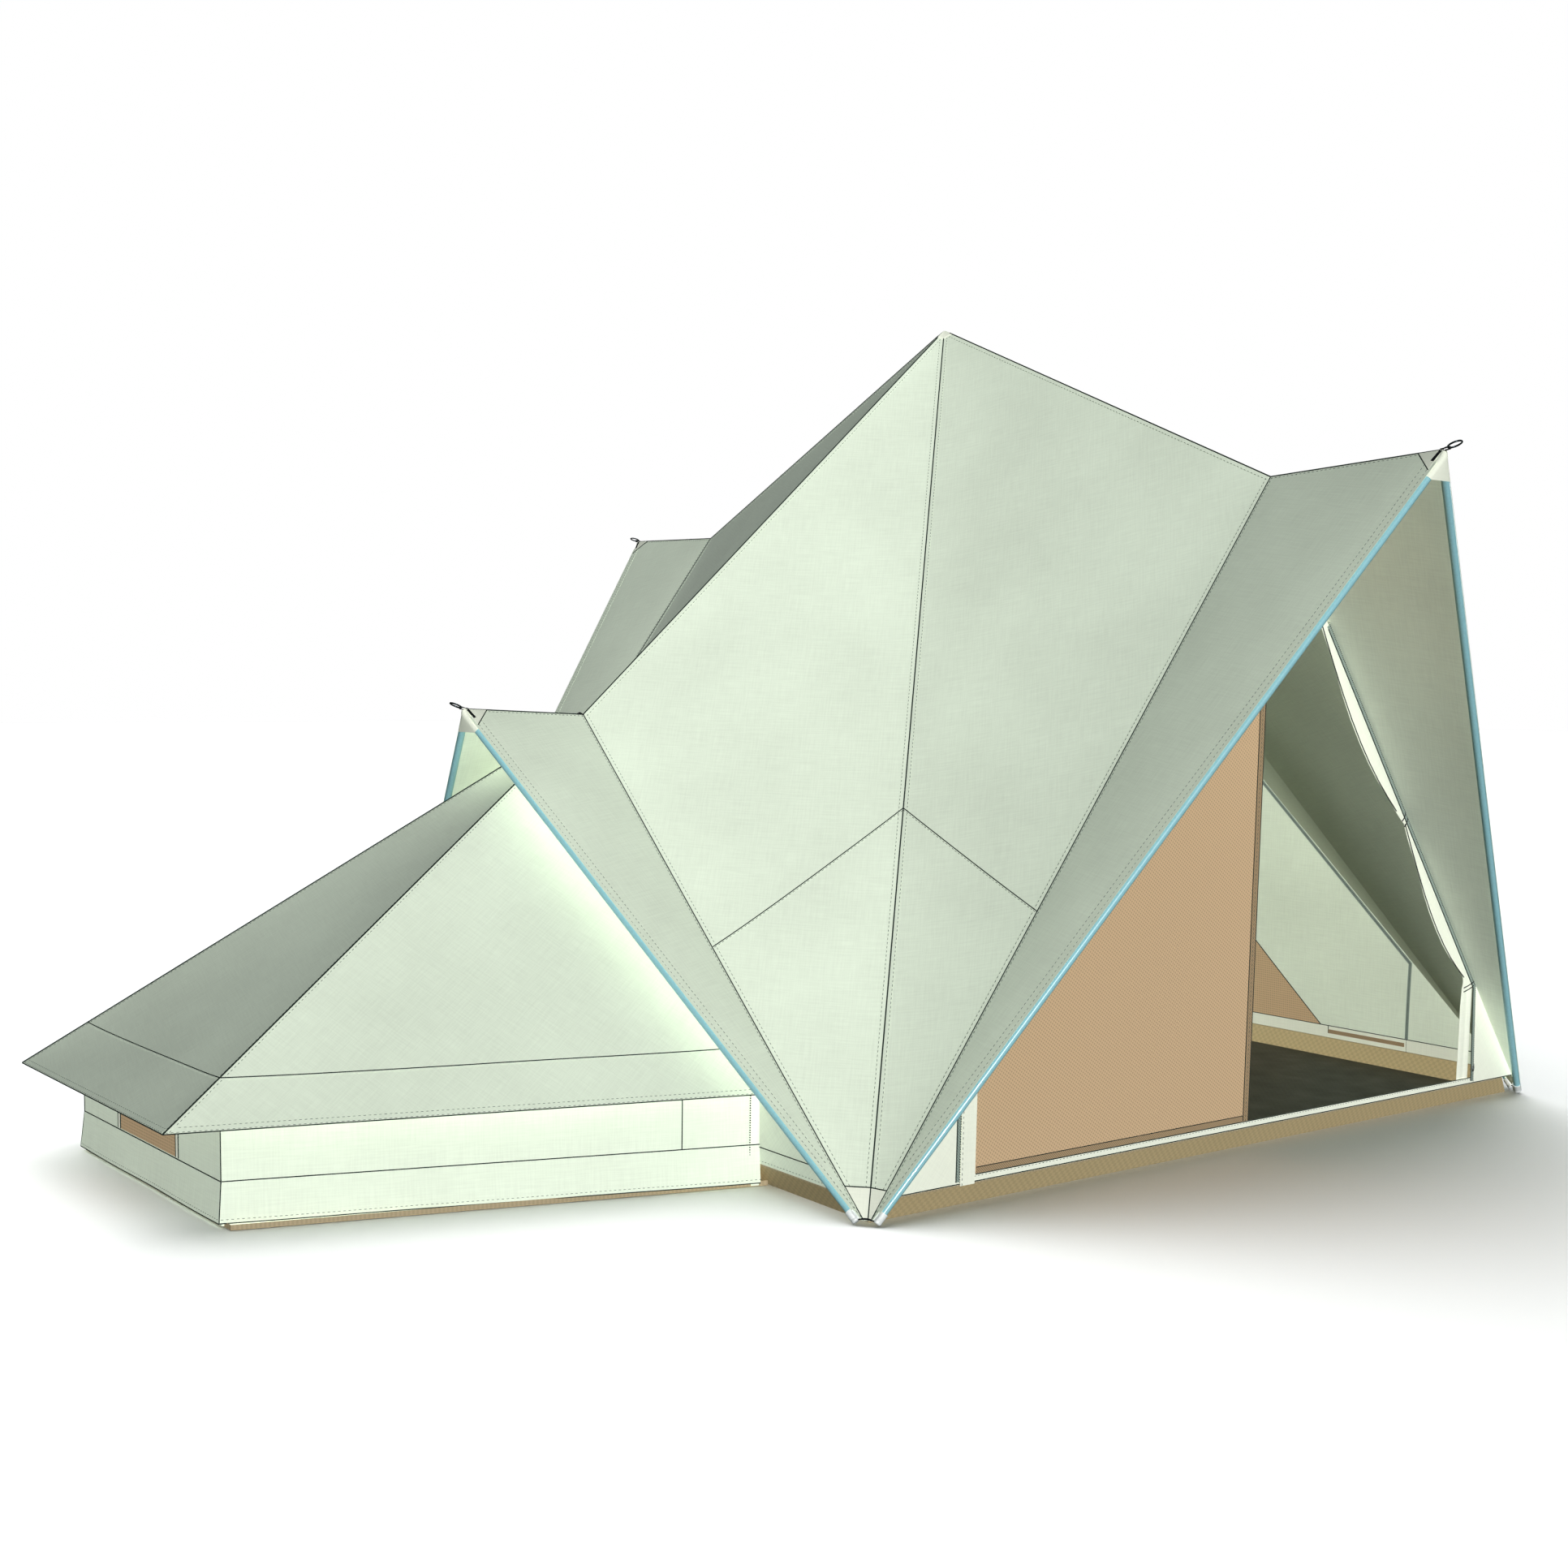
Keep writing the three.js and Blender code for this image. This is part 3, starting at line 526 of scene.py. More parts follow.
@dataclass
class Panel:
    """A cut of cloth on a plane. It dips a little between the edges of its main triangle.

    Heights are measured from the plane, out along the hint.
    """

    outline: Path
    hint: Vector
    key: Optional[Path] = None
    top: float = -0.2
    thick: float = 1.6
    sag: float = 0.0
    spacing: float = 45.0
    seed: float = 0.0
    relief: Optional[Callable[[Vector], float]] = None

    def __post_init__(self) -> None:
        """Work out the plane and the flat outline."""
        base = self.key or self.outline
        normal = Vector()
        for a, b in zip(base, [*base[1:], base[0]]):
            normal += a.cross(b)
        self.normal = normal.normalized() * (1 if normal.dot(self.hint) > 0 else -1)
        edges = [(b - a) for a, b in zip(base, [*base[1:], base[0]])]
        self.along = max(edges, key=lambda edge: edge.length).normalized()
        self.across = self.normal.cross(self.along)
        self.origin = base[0].copy()
        self.flat = [self.to_flat(point) for point in self.outline]
        if self.key:
            self.triangle = [self.to_flat(point) for point in self.key]
            self.deepest = self.inset(sum(self.triangle, Vector((0, 0))) / 3)

    def to_flat(self, point: Vector) -> Vector:
        """The flat coordinates of a point."""
        step = point - self.origin
        return Vector((step.dot(self.along), step.dot(self.across)))

    def inset(self, flat: Vector) -> float:
        """How far inside the main triangle a flat point is: nought at its edges."""
        total = 0.0
        for a, b in zip(self.triangle, [*self.triangle[1:], self.triangle[0]]):
            edge = (b - a).normalized()
            middle = sum(self.triangle, Vector((0, 0))) / 3
            out = Vector((-edge.y, edge.x))
            away = (flat - a).dot(out) * (1 if (middle - a).dot(out) > 0 else -1)
            if away < 0.5:
                return 0.0
            total += 1 / away
        return 1 / total

    def dip(self, flat: Vector) -> float:
        """How far the cloth is from its plane at a flat point."""
        rise = self.relief(flat) if self.relief else 0.0
        if not self.sag or not self.key:
            return rise
        share = min(1.0, self.inset(flat) / self.deepest)
        wave = noise.noise(Vector((flat.x / 420, flat.y / 420, self.seed)))
        return rise - self.sag * share + 0.22 * self.sag * wave * min(1.0, share * 2)

    def place(self, flat: Vector, height: float) -> Vector:
        """The point at a height over a flat point, following the cloth."""
        lifted = height + self.dip(flat)
        return self.origin + self.along * flat.x + self.across * flat.y + self.normal * lifted

    def slab(self, outline: Sequence[Vector], low: float, high: float, spacing: float = 0.0) -> Shape:
        """A closed layer of cloth.

        Args:
            outline: its flat outline.
            low: the height of its lower face.
            high: the height of its upper face.
            spacing: the distance between its points.

        Returns:
            The closed layer.
        """
        step = spacing or self.spacing
        border = list(outline) if flat_area(outline) > 0 else list(reversed(outline))
        rim = []
        for a, b in zip(border, [*border[1:], border[0]]):
            count = max(1, round((b - a).length / step))
            rim += [a.lerp(b, i / count) for i in range(count)]
        low_x, high_x = min(p.x for p in rim), max(p.x for p in rim)
        low_y, high_y = min(p.y for p in rim), max(p.y for p in rim)
        rows = int((high_y - low_y) / (step * 0.866)) + 1
        columns = int((high_x - low_x) / step) + 2
        grid = [Vector((low_x + (i + 0.5 * (j % 2)) * step, low_y + j * step * 0.866))
                for j in range(rows) for i in range(columns)]
        inner = [point for point in grid if is_inside(point, border, step * 0.5)]
        flats, _, faces, *_ = delaunay_2d_cdt(rim + inner, [], [list(range(len(rim)))], 1, 1e-5)
        shape = Shape()
        shape.points = [self.place(p, high) for p in flats] + [self.place(p, low) for p in flats]
        size = len(flats)
        edges: dict[tuple[int, int], bool] = {}
        for face in faces:
            a, b, c = (flats[i] for i in face)
            ordered = tuple(face) if (b - a).cross(c - a) > 0 else tuple(reversed(face))
            shape.faces += [ordered, tuple(i + size for i in reversed(ordered))]
            corners = tuple((flats[i].x, flats[i].y) for i in ordered)
            shape.flats += [corners, tuple(reversed(corners))]
            for i in range(3):
                edges[(ordered[i], ordered[(i + 1) % 3])] = True
        for a, b in edges:
            if (b, a) in edges:
                continue
            shape.faces.append((b, a, a + size, b + size))
            ends = [(flats[i].x, flats[i].y) for i in (b, a)]
            shape.flats.append((ends[0], ends[1], ends[1], ends[0]))
        return shape

    def cloth(self) -> Shape:
        """The panel itself."""
        return self.slab(self.flat, self.top - self.thick, self.top)

    def patch(self, corners: Path, thick: float = 0.9, lift: float = 0.05, inner: bool = False,
              spacing: float = 0.0) -> Shape:
        """A layer on the panel's outer face, or on its inner one."""
        flat = [self.to_flat(point) for point in corners]
        if inner:
            high = self.top - self.thick - lift
            return self.slab(flat, high - thick, high, spacing)
        return self.slab(flat, self.top + lift, self.top + lift + thick, spacing)

    def strip(self, line: Path, width: float, thick: float = 0.7, lift: float = 0.05,
              inner: bool = False) -> Shape:
        """A band along a line on the panel's outer face, or on its inner one."""
        outline = ribbon([self.to_flat(point) for point in line], width)
        high = self.top - self.thick - lift if inner else self.top + lift + thick
        return self.slab(outline, high - thick, high)

    def run(self, line: Path, height: float = 0.0, inner: bool = False, step: float = 60.0) -> Path:
        """A path over the cloth at a height above its outer or inner face."""
        points = []
        for a, b in zip(line, line[1:]):
            count = max(1, round((b - a).length / step))
            points += [a.lerp(b, i / count) for i in range(count)]
        points.append(line[-1])
        base = self.top - self.thick - height if inner else self.top + height
        return [self.place(self.to_flat(point), base) for point in points]

    def shrunk(self, distance: float) -> Path:
        """The main triangle's corners after its edges move in by a distance."""
        a, b, c = self.key
        sides = ((b - c).length, (c - a).length, (a - b).length)
        around = sum(sides)
        centre = (a * sides[0] + b * sides[1] + c * sides[2]) / around
        radius = (b - a).cross(c - a).length / around
        return [corner.lerp(centre, distance / radius) for corner in self.key]

    def declare(self, piece: bpy.types.Object, hold: Hold, rests_on: Iterable[str] = ()) -> None:
        """Work out how large the flat cut is; the result is not kept."""
        area = abs(flat_area(self.flat)) * MM * MM


class BeadRow:
    """Geometry Nodes: a row of small rounded grains along a path, as stitches or zip teeth."""

    def __init__(self) -> None:
        """Build the tree."""
        self.tree = bpy.data.node_groups.new("grains_along_path", "GeometryNodeTree")
        sockets = (("Geometry", "NodeSocketGeometry"), ("Pitch", "NodeSocketFloat"),
                   ("Grain Size", "NodeSocketVector"), ("Material", "NodeSocketMaterial"))
        for name, kind in sockets:
            self.tree.interface.new_socket(name, in_out="INPUT", socket_type=kind)
        self.tree.interface.new_socket("Geometry", in_out="OUTPUT", socket_type="NodeSocketGeometry")
        given = add_node(self.tree, "NodeGroupInput")
        curve = add_node(self.tree, "GeometryNodeMeshToCurve", {}, {"Mesh": given.outputs["Geometry"]})
        spots = add_node(self.tree, "GeometryNodeCurveToPoints", {},
                         {"Curve": curve.outputs["Curve"], "Length": given.outputs["Pitch"]}, mode="LENGTH")
        grain = add_node(self.tree, "GeometryNodeMeshIcoSphere", {"Radius": 0.5, "Subdivisions": 1})
        placed = add_node(self.tree, "GeometryNodeInstanceOnPoints", {},
                          {"Points": spots.outputs["Points"], "Instance": grain.outputs["Mesh"],
                           "Rotation": spots.outputs["Rotation"], "Scale": given.outputs["Grain Size"]})
        real = add_node(self.tree, "GeometryNodeRealizeInstances", {},
                        {"Geometry": placed.outputs["Instances"]})
        dressed = add_node(self.tree, "GeometryNodeSetMaterial", {},
                           {"Geometry": real.outputs["Geometry"], "Material": given.outputs["Material"]})
        add_node(self.tree, "NodeGroupOutput", {}, {"Geometry": dressed.outputs["Geometry"]})


class CordAlong:
    """Geometry Nodes: a round cord along a path, as the piping in a seam."""

    def __init__(self) -> None:
        """Build the tree."""
        self.tree = bpy.data.node_groups.new("cord_along_path", "GeometryNodeTree")
        sockets = (("Geometry", "NodeSocketGeometry"), ("Radius", "NodeSocketFloat"),
                   ("Material", "NodeSocketMaterial"))
        for name, kind in sockets:
            self.tree.interface.new_socket(name, in_out="INPUT", socket_type=kind)
        self.tree.interface.new_socket("Geometry", in_out="OUTPUT", socket_type="NodeSocketGeometry")
        given = add_node(self.tree, "NodeGroupInput")
        curve = add_node(self.tree, "GeometryNodeMeshToCurve", {}, {"Mesh": given.outputs["Geometry"]})
        ring = add_node(self.tree, "GeometryNodeCurvePrimitiveCircle", {"Resolution": 8},
                        {"Radius": given.outputs["Radius"]})
        solid = add_node(self.tree, "GeometryNodeCurveToMesh", {"Fill Caps": True},
                         {"Curve": curve.outputs["Curve"], "Profile Curve": ring.outputs["Curve"]})
        real = add_node(self.tree, "GeometryNodeRealizeInstances", {}, {"Geometry": solid.outputs["Mesh"]})
        dressed = add_node(self.tree, "GeometryNodeSetMaterial", {},
                           {"Geometry": real.outputs["Geometry"], "Material": given.outputs["Material"]})
        add_node(self.tree, "NodeGroupOutput", {}, {"Geometry": dressed.outputs["Geometry"]})


def grow(name: str, paths: list[Path], tree: bpy.types.NodeTree, inputs: dict[str, object]
         ) -> bpy.types.Object:
    """Run a tree over some paths and keep the result as a plain mesh.

    Args:
        name: the new piece's name.
        paths: the paths, in millimetres.
        tree: the Geometry Nodes tree.
        inputs: values of its named inputs.

    Returns:
        The new object, with no modifier left on it.
    """
    points: list[Vector] = []
    edges: list[tuple[int, int]] = []
    for path in paths:
        start = len(points)
        points += [point * MM for point in path]
        edges += [(start + i, start + i + 1) for i in range(len(path) - 1)]
    mesh = bpy.data.meshes.new(f"{name}_path")
    mesh.from_pydata(points, edges, [])
    made = bpy.data.objects.new(name, mesh)
    bpy.context.scene.collection.objects.link(made)
    modifier = made.modifiers.new("path", "NODES")
    modifier.node_group = tree
    for item in tree.interface.items_tree:
        if item.in_out == "INPUT" and item.name in inputs:
            modifier[item.identifier] = inputs[item.name]
    bpy.context.view_layer.update()
    solid = bpy.data.meshes.new_from_object(made.evaluated_get(bpy.context.evaluated_depsgraph_get()))
    made.modifiers.clear()
    made.data = solid
    solid.name = name
    solid.polygons.foreach_set("use_smooth", [True] * len(solid.polygons))
    return made


@dataclass
class Trim:
    """The sewing of one sub-assembly: its stitch rows, its piping and its fine seam lines."""

    name: str
    slot: Slot
    beads: BeadRow
    cords: CordAlong
    body: Body = Body.TENT
    # Stitches of 3 mm are drawn 14 mm apart so that they show.
    stitch_pitch: float = 14.0
    stitch_size: tuple[float, float, float] = (1.5, 1.5, 9.0)
    piping_radius: float = 2.0
    line_radius: float = 1.5
    rows: list[Path] = field(default_factory=list)
    piping: list[Path] = field(default_factory=list)
    lines: list[Path] = field(default_factory=list)

    def finish(self) -> None:
        """Make the pieces that were asked for."""
        if self.rows:
            size = tuple(value * MM for value in self.stitch_size)
            inputs = {"Pitch": self.stitch_pitch * MM, "Grain Size": size, "Material": THREAD.material()}
            settle(grow(f"{self.name}_stitches", self.rows, self.beads.tree, inputs), THREAD,
                   self.body)
        for kind, paths, radius in (("piping", self.piping, self.piping_radius),
                                    ("seam_lines", self.lines, self.line_radius)):
            if paths:
                inputs = {"Radius": radius * MM, "Material": PIPING.material()}
                settle(grow(f"{self.name}_{kind}", paths, self.cords.tree, inputs), PIPING,
                       self.body)


@dataclass(frozen=True)
class Half:
    """One half of a side: its label, its direction from the side's middle, and its corner."""

    label: str
    across: Vector
    corner: Vector


@dataclass(frozen=True)
class Side:
    """One side of the tent."""

    name: str
    out: Vector
    knee: Vector
    top: Vector
    halves: tuple[Half, Half]

    def on_wall(self, along: float, z: float) -> Vector:
        """A point on the side's wall plane."""
        foot = abs(self.halves[0].corner.dot(self.out))
        reach = foot + (self.knee.dot(self.out) - foot) * z / self.knee.z
        return self.out * reach + self.halves[1].across * along + UP * z

    @property
    def half_width(self) -> float:
        """Half the wall's width on the ground."""
        return abs(self.halves[1].corner.dot(self.halves[1].across))

    def hip_half(self, z: float) -> float:
        """Half the wall's width at a height."""
        return self.half_width * (1 - z / self.knee.z)

    def hip_z(self, along: float) -> float:
        """The height of the wall's slanted edge."""
        return self.knee.z * (1 - abs(along) / self.half_width)


@dataclass(frozen=True)
class Plan:
    """The tent's main points."""

    corner_x: float = 1536.0
    corner_y: float = 1422.0
    peak_z: float = 2731.0
    tall_knee: tuple[float, float] = (14.0, 2073.0)
    low_knee: tuple[float, float] = (10.0, 1339.0)
    tall_top: tuple[float, float] = (575.0, 2095.0)
    low_top: tuple[float, float] = (442.0, 1357.0)
    corner_trim: float = 16.0
    peak_trim: float = 5.0
    wall_foot: float = 67.6

    @property
    def peak(self) -> Vector:
        """The top of the roof."""
        return Vector((0, 0, self.peak_z))

    def side(self, name: str) -> Side:
        """One of the four sides, by name."""
        sign = -1 if name in ("front", "left") else 1
        tall = name in ("front", "back")
        out = Vector((0, sign, 0)) if tall else Vector((sign, 0, 0))
        along = Vector((1, 0, 0)) if tall else Vector((0, 1, 0))
        knee, top = (self.tall_knee, self.tall_top) if tall else (self.low_knee, self.low_top)
        line = self.corner_y if tall else self.corner_x
        wide = self.corner_x if tall else self.corner_y
        labels = ("left", "right") if tall else ("front", "back")
        halves = tuple(Half(label, along * way, out * line + along * (way * wide))
                       for label, way in zip(labels, (-1, 1)))
        return Side(name, out, out * (line + knee[0]) + UP * knee[1], out * (line + top[0]) + UP * top[1],
                    halves)

    @property
    def sides(self) -> list[Side]:
        """All four sides."""
        return [self.side(name) for name in ("front", "back", "left", "right")]


def at_height(start: Vector, end: Vector, z: float) -> Vector:
    """The point of a line at a height."""
    return start.lerp(end, (z - start.z) / (end.z - start.z))


@dataclass
class Roof:
    """Eight roof panels with their felled seams, corner patches and peak cap."""

    plan: Plan
    beads: BeadRow
    cords: CordAlong
    sag: float = 15.0
    fell_width: float = 15.0
    stitch_inset: float = 13.0
    seam_share_hip: float = 0.609
    seam_share_low: float = 0.503
    patch_z: float = 90.0
    cap_reach: float = 46.0
    cap_thick: float = 1.2

    def build(self) -> None:
        """Make every panel, the patches, the cap and the sewing."""
        trim = Trim("roof", Slot.ROOF, self.beads, self.cords)
        patches = Shape()
        fells = Shape()
        for i, side in enumerate(self.plan.sides):
            trim.piping.append(self.proud([self.plan.peak.lerp(side.knee, 0.02), side.knee], side.out))
            for j, half in enumerate(side.halves):
                self.panel(side, half, float(2 * i + j), trim, patches, fells)
        for side in self.plan.sides[:2]:
            for half in side.halves:
                away = Vector((half.across.x, side.out.y, 0)).normalized()
                foot = at_height(half.corner, self.plan.peak, self.plan.corner_trim)
                trim.piping.append(self.proud([self.plan.peak.lerp(half.corner, 0.012), foot], away))
        fells.piece("roof_felled_seams", CANVAS, Slot.ROOF)
        patches.piece("roof_corner_patches", CANVAS_PATCH, Slot.ROOF)
        self.peak_cap()
        trim.finish()

    def proud(self, line: Path, away: Vector) -> Path:
        """A line moved a little out of the canvas."""
        return [point + (away * 0.5 + UP * 0.7) for point in line]

    def panel(self, side: Side, half: Half, seed: float, trim: Trim, patches: Shape, fells: Shape) -> None:
        """One roof panel with its seams."""
        peak, knee, corner = self.plan.peak, side.knee, half.corner
        low = self.plan.corner_trim
        outline = [at_height(peak, knee, peak.z - self.plan.peak_trim), knee, at_height(corner, knee, low),
                   at_height(corner, peak, low), at_height(peak, corner, peak.z - self.plan.peak_trim)]
        cut = Panel(outline, UP, key=[peak, knee, corner], sag=self.sag, seed=seed)
        node = f"roof_{side.name}_{half.label}"
        piece = cut.cloth().piece(f"canvas_{node}", CANVAS, Slot.ROOF, stands_for=[node])
        cut.declare(piece, Hold.STRETCHED, ["centre_pole_upper", f"leg_tube_{side.name}_{half.label}"])
        bands = cut.shrunk(self.fell_width / 2)
        rows = cut.shrunk(self.stitch_inset)
        for a, b in ((0, 1), (1, 2), (2, 0)):
            fells.join(cut.strip([bands[a], bands[b]], self.fell_width - 1))
            trim.rows.append(cut.run([rows[a], rows[b]], 0.9))
        share = self.seam_share_hip if side.knee.z > 1500 else self.seam_share_low
        line = [peak.lerp(corner, self.seam_share_hip), knee.lerp(corner, share)]
        inside = [line[0].lerp(line[1], 0.004), line[1].lerp(line[0], 0.004)]
        fells.join(cut.strip([inside[0].lerp(inside[1], 0.01), inside[1].lerp(inside[0], 0.01)], 11, 0.6))
        trim.lines.append(cut.run(inside, 0.6))
        below = [point + (corner - knee).normalized() * 5 for point in inside]
        trim.rows.append(cut.run([below[0].lerp(below[1], 0.01), below[1].lerp(below[0], 0.01)], 0.8))
        edge = [at_height(corner, knee, self.patch_z), at_height(corner, peak, self.patch_z)]
        ends = [at_height(corner, peak, low + 1), at_height(corner, knee, low + 1)]
        middle = (edge[0] + edge[1] + ends[0] + ends[1]) / 4
        patches.join(cut.patch([point.lerp(middle, 0.03) for point in [*edge, *ends]], 0.9, 0.8, spacing=30))
        trim.lines.append(cut.run(edge, 1.6))

    def peak_cap(self) -> None:
        """The eight-sided reinforcing cap over the pole's spigot."""
        peak = self.plan.peak
        ends = []
        for side in self.plan.sides:
            ends += [side.knee, *(half.corner for half in side.halves)]
        unique = {(round(end.x), round(end.y)): end for end in ends}
        rim = sorted(unique.values(), key=lambda end: math.atan2(end.y, end.x))
        shape = Shape()
        steps = 4
        count = len(rim)
        for height in (self.cap_thick + 1.2, 1.2):
            shape.points.append(peak + UP * (height - 2.0))
            for step in range(1, steps + 1):
                for end in rim:
                    reach = (end - peak).normalized() * (self.cap_reach * step / steps)
                    shape.points.append(peak + reach + UP * height)
        size = 1 + steps * count
        for layer in (0, 1):
            start = layer * size
            for i in range(count):
                j = (i + 1) % count
                loops = [(start, start + 1 + i, start + 1 + j)]
                for step in range(steps - 1):
                    near, far = start + 1 + step * count, start + 1 + (step + 1) * count
                    loops.append((near + i, far + i, far + j, near + j))
                shape.faces += [tuple(reversed(loop)) if layer else loop for loop in loops]
        outer = 1 + (steps - 1) * count
        for i in range(count):
            j = (i + 1) % count
            shape.faces.append((outer + j, outer + i, outer + size + i, outer + size + j))
        shape.flats = [tuple((shape.points[i].x, shape.points[i].y) for i in face) for face in shape.faces]
        shape.piece("roof_peak_cap", CANVAS_PATCH, Slot.ROOF, crease=60)


@dataclass
class Frames:
    """The four A-frames: tubes, knuckles, end caps, corner bands, guy loops and rings."""

    plan: Plan
    radius: float = 11.0
    wall: float = 1.5
    canvas_half: float = 1.5
    proud: float = 2.0
    clear: float = 2.4
    spigot: float = 55.0
    cap_radius: float = 13.8
    cap_length: float = 36.0
    cap_floor: float = 4.0
    eye: tuple[float, float] = (16.3, 4.68)
    ring_radius: float = 19.0
    ring_wire: float = 2.5
    ring_tilt: float = 24.0
    band_width: float = 16.0

    def line(self, side: Side, half: Half) -> tuple[Vector, Vector, Vector, float]:
        """A leg's middle line.

        Returns:
            Its base, its direction, the knuckle's middle, and the tube's distance from that middle.
        """
        edge = (side.top - half.corner).normalized()
        normal = (side.top - side.knee).cross(half.corner - side.knee).normalized()
        inward = normal if normal.dot(half.across) < 0 else -normal
        out = (side.out - edge * side.out.dot(edge)).normalized()
        base = half.corner + inward * (self.radius + self.canvas_half) + out * self.proud
        knuckle = base - edge * (base.dot(half.across) / edge.dot(half.across))
        sine = abs(edge.dot(half.across))
        return base, edge, knuckle, self.radius * math.sqrt(1 - sine * sine) / sine + self.clear

    def build(self) -> None:
        """Make every frame and corner foot."""
        for side in self.plan.sides:
            ends = []
            for half in side.halves:
                ends.append(self.tube(side, half))
            self.knuckle(side, ends)
            self.guy_loop(side)
            self.guy_ring(side)
        for front in (self.plan.side("front"), self.plan.side("back")):
            for half in front.halves:
                self.foot(front, half)

    def tube(self, side: Side, half: Half) -> tuple[Vector, Vector]:
        """One tube; returns its top end and its direction."""
        base, edge, knuckle, gap = self.line(side, half)
        lean = math.sqrt(1 - edge.z ** 2)
        foot_z = 14.0 * lean + 1.0
        foot = base + edge * ((foot_z - base.z) / edge.z) + edge * self.cap_floor
        top = knuckle - edge * gap
        length = (top - foot).length
        bore = self.radius - self.wall
        profile = [(bore, 0.0), (self.radius - 0.5, 0.0), (self.radius, 0.5)]
        profile += [(self.radius, length * i / 8) for i in range(1, 8)]
        profile += [(self.radius, length - 0.5), (self.radius - 0.5, length), (bore, length)]
        node = f"leg_{side.name}_{half.label}"
        shape = turned(profile, foot, edge, 36, ring=True)
        shape.piece(f"leg_tube_{side.name}_{half.label}", TUBE, Slot.TUBE, stands_for=[node])
        return top, edge

    def knuckle(self, side: Side, ends: list[tuple[Vector, Vector]]) -> None:
        """The moulded elbow plugged into both tubes of an A-frame."""
        middle = self.line(side, side.halves[0])[2]
        (left, up_left), (right, up_right) = ends
        bore = self.radius - self.wall - 0.4
        path = [left - up_left * self.spigot, left - up_left * (self.spigot - 3), left - up_left * 0.1,
                left + up_left * 0.2]
        sizes = [bore * 0.85, bore, bore, self.radius]
        for share in (0.5, 0.85):
            path.append(left.lerp(middle, share))
            sizes.append(self.radius)
        for share in (0.15, 0.5):
            path.append(middle.lerp(right, share))
            sizes.append(self.radius)
        path += [right + up_right * 0.2, right - up_right * 0.1, right - up_right * (self.spigot - 3),
                 right - up_right * self.spigot]
        sizes += [self.radius, bore, bore, bore * 0.85]
        shape = sweep(path, round_section(1.0, 24), side.out, sizes=sizes)
        shape.piece(f"knuckle_elbow_{side.name}", CAP, Slot.WHITE, stands_for=[f"knuckle_{side.name}"])

    def guy_loop(self, side: Side) -> None:
        """The webbing loop that holds the guy ring: a band folded round the ring's wire."""
        lateral = side.out.cross(UP)
        centre = side.top + side.out * self.eye[0] + UP * self.eye[1]
        bend = self.ring_wire + 1.5
        path = [side.top + side.out * -7 + UP * -3.4, side.top + side.out * 4 + UP * -1.6]
        for i in range(9):
            turn = math.radians(-105 + 210 * i / 8)
            path.append(centre + side.out * (bend * math.cos(turn)) + UP * (bend * math.sin(turn)))
        path += [side.top + side.out * 4 + UP * 5.2, side.top + side.out * -7 + UP * 3.6]
        shape = sweep(path, band_section(11.0, 1.4), lateral)
        shape.piece(f"guy_loop_{side.name}", WEBBING, Slot.WEB, stands_for=[f"guy_tab_{side.name}"], crease=50)

    def guy_ring(self, side: Side) -> None:
        """The round ring that swings in the loop."""
        lateral = side.out.cross(UP)
        tilt = math.radians(self.ring_tilt)
        reach = side.out * math.cos(tilt) + UP * math.sin(tilt)
        eye = side.top + side.out * self.eye[0] + UP * self.eye[1]
        middle = eye + reach * self.ring_radius
        count = 48
        path = [middle + reach * (self.ring_radius * math.cos(2 * math.pi * i / count))
                + lateral * (self.ring_radius * math.sin(2 * math.pi * i / count)) for i in range(count)]
        normal = reach.cross(lateral)
        shape = sweep(path, round_section(self.ring_wire, 14), normal, closed=True)
        shape.piece(f"guy_ring_round_{side.name}", RING_STEEL, Slot.RING, Body(f"ring_{side.name}"),
                    [f"guy_ring_{side.name}"], crease=60)

    def foot(self, side: Side, half: Half) -> None:
        """A corner's two white end caps and the black band that ties them."""
        corner = half.corner
        name = f"{side.name}_{half.label}"
        other = self.plan.side(half.label)
        partner = next(h for h in other.halves if (h.corner - corner).length < 1)
        planes = [self.underside([self.plan.peak, s.knee, corner], UP, 2.6) for s in (side, other)]
        caps = Shape()
        feet = []
        for own, part in ((side, half), (other, partner)):
            base, edge, _, _ = self.line(own, part)
            lean = math.sqrt(1 - edge.z ** 2)
            foot = base + edge * ((14.0 * lean + 1.0 - base.z) / edge.z)
            feet.append(foot)
            r = self.cap_radius
            profile = [(0.0, 0.0), (r * 0.6, 0.0), (r * 0.86, 1.2), (r, 4.0), (r, 9.0), (r - 0.5, 10.0),
                       (r, 11.0), (r, self.cap_length - 5), (r + 0.5, self.cap_length - 3),
                       (r + 0.3, self.cap_length), (self.radius + 0.4, self.cap_length),
                       (self.radius + 0.4, self.cap_floor), (0.0, self.cap_floor)]
            shape = turned(profile, foot, edge, 36)
            wing = self.underside([own.knee, own.top, corner], part.across, 1.4)
            for point in shape.points:
                covered = abs(point.x) < self.plan.corner_x - 2 and abs(point.y) < self.plan.corner_y - 2
                for origin, normal in (*planes, wing) if covered else (wing,):
                    over = (point - origin).dot(normal)
                    if over > 0:
                        point -= normal * over
                point.z = max(point.z, 0.3)
            caps.join(shape)
        caps.piece(f"corner_caps_{name}", CAP, Slot.WHITE, stands_for=[f"foot_{name}"], crease=45)
        span = feet[1] - feet[0]
        side_way = Vector((-span.y, span.x, 0)).normalized()
        lift = UP * 7
        path = [feet[0].lerp(feet[1], i / 6) + lift + UP * (3 * math.sin(math.pi * i / 6)) for i in range(7)]
        shape = sweep(path, band_section(self.band_width, 3.0), side_way)
        shape.piece(f"corner_band_{name}", WEBBING, Slot.WEB, crease=50)

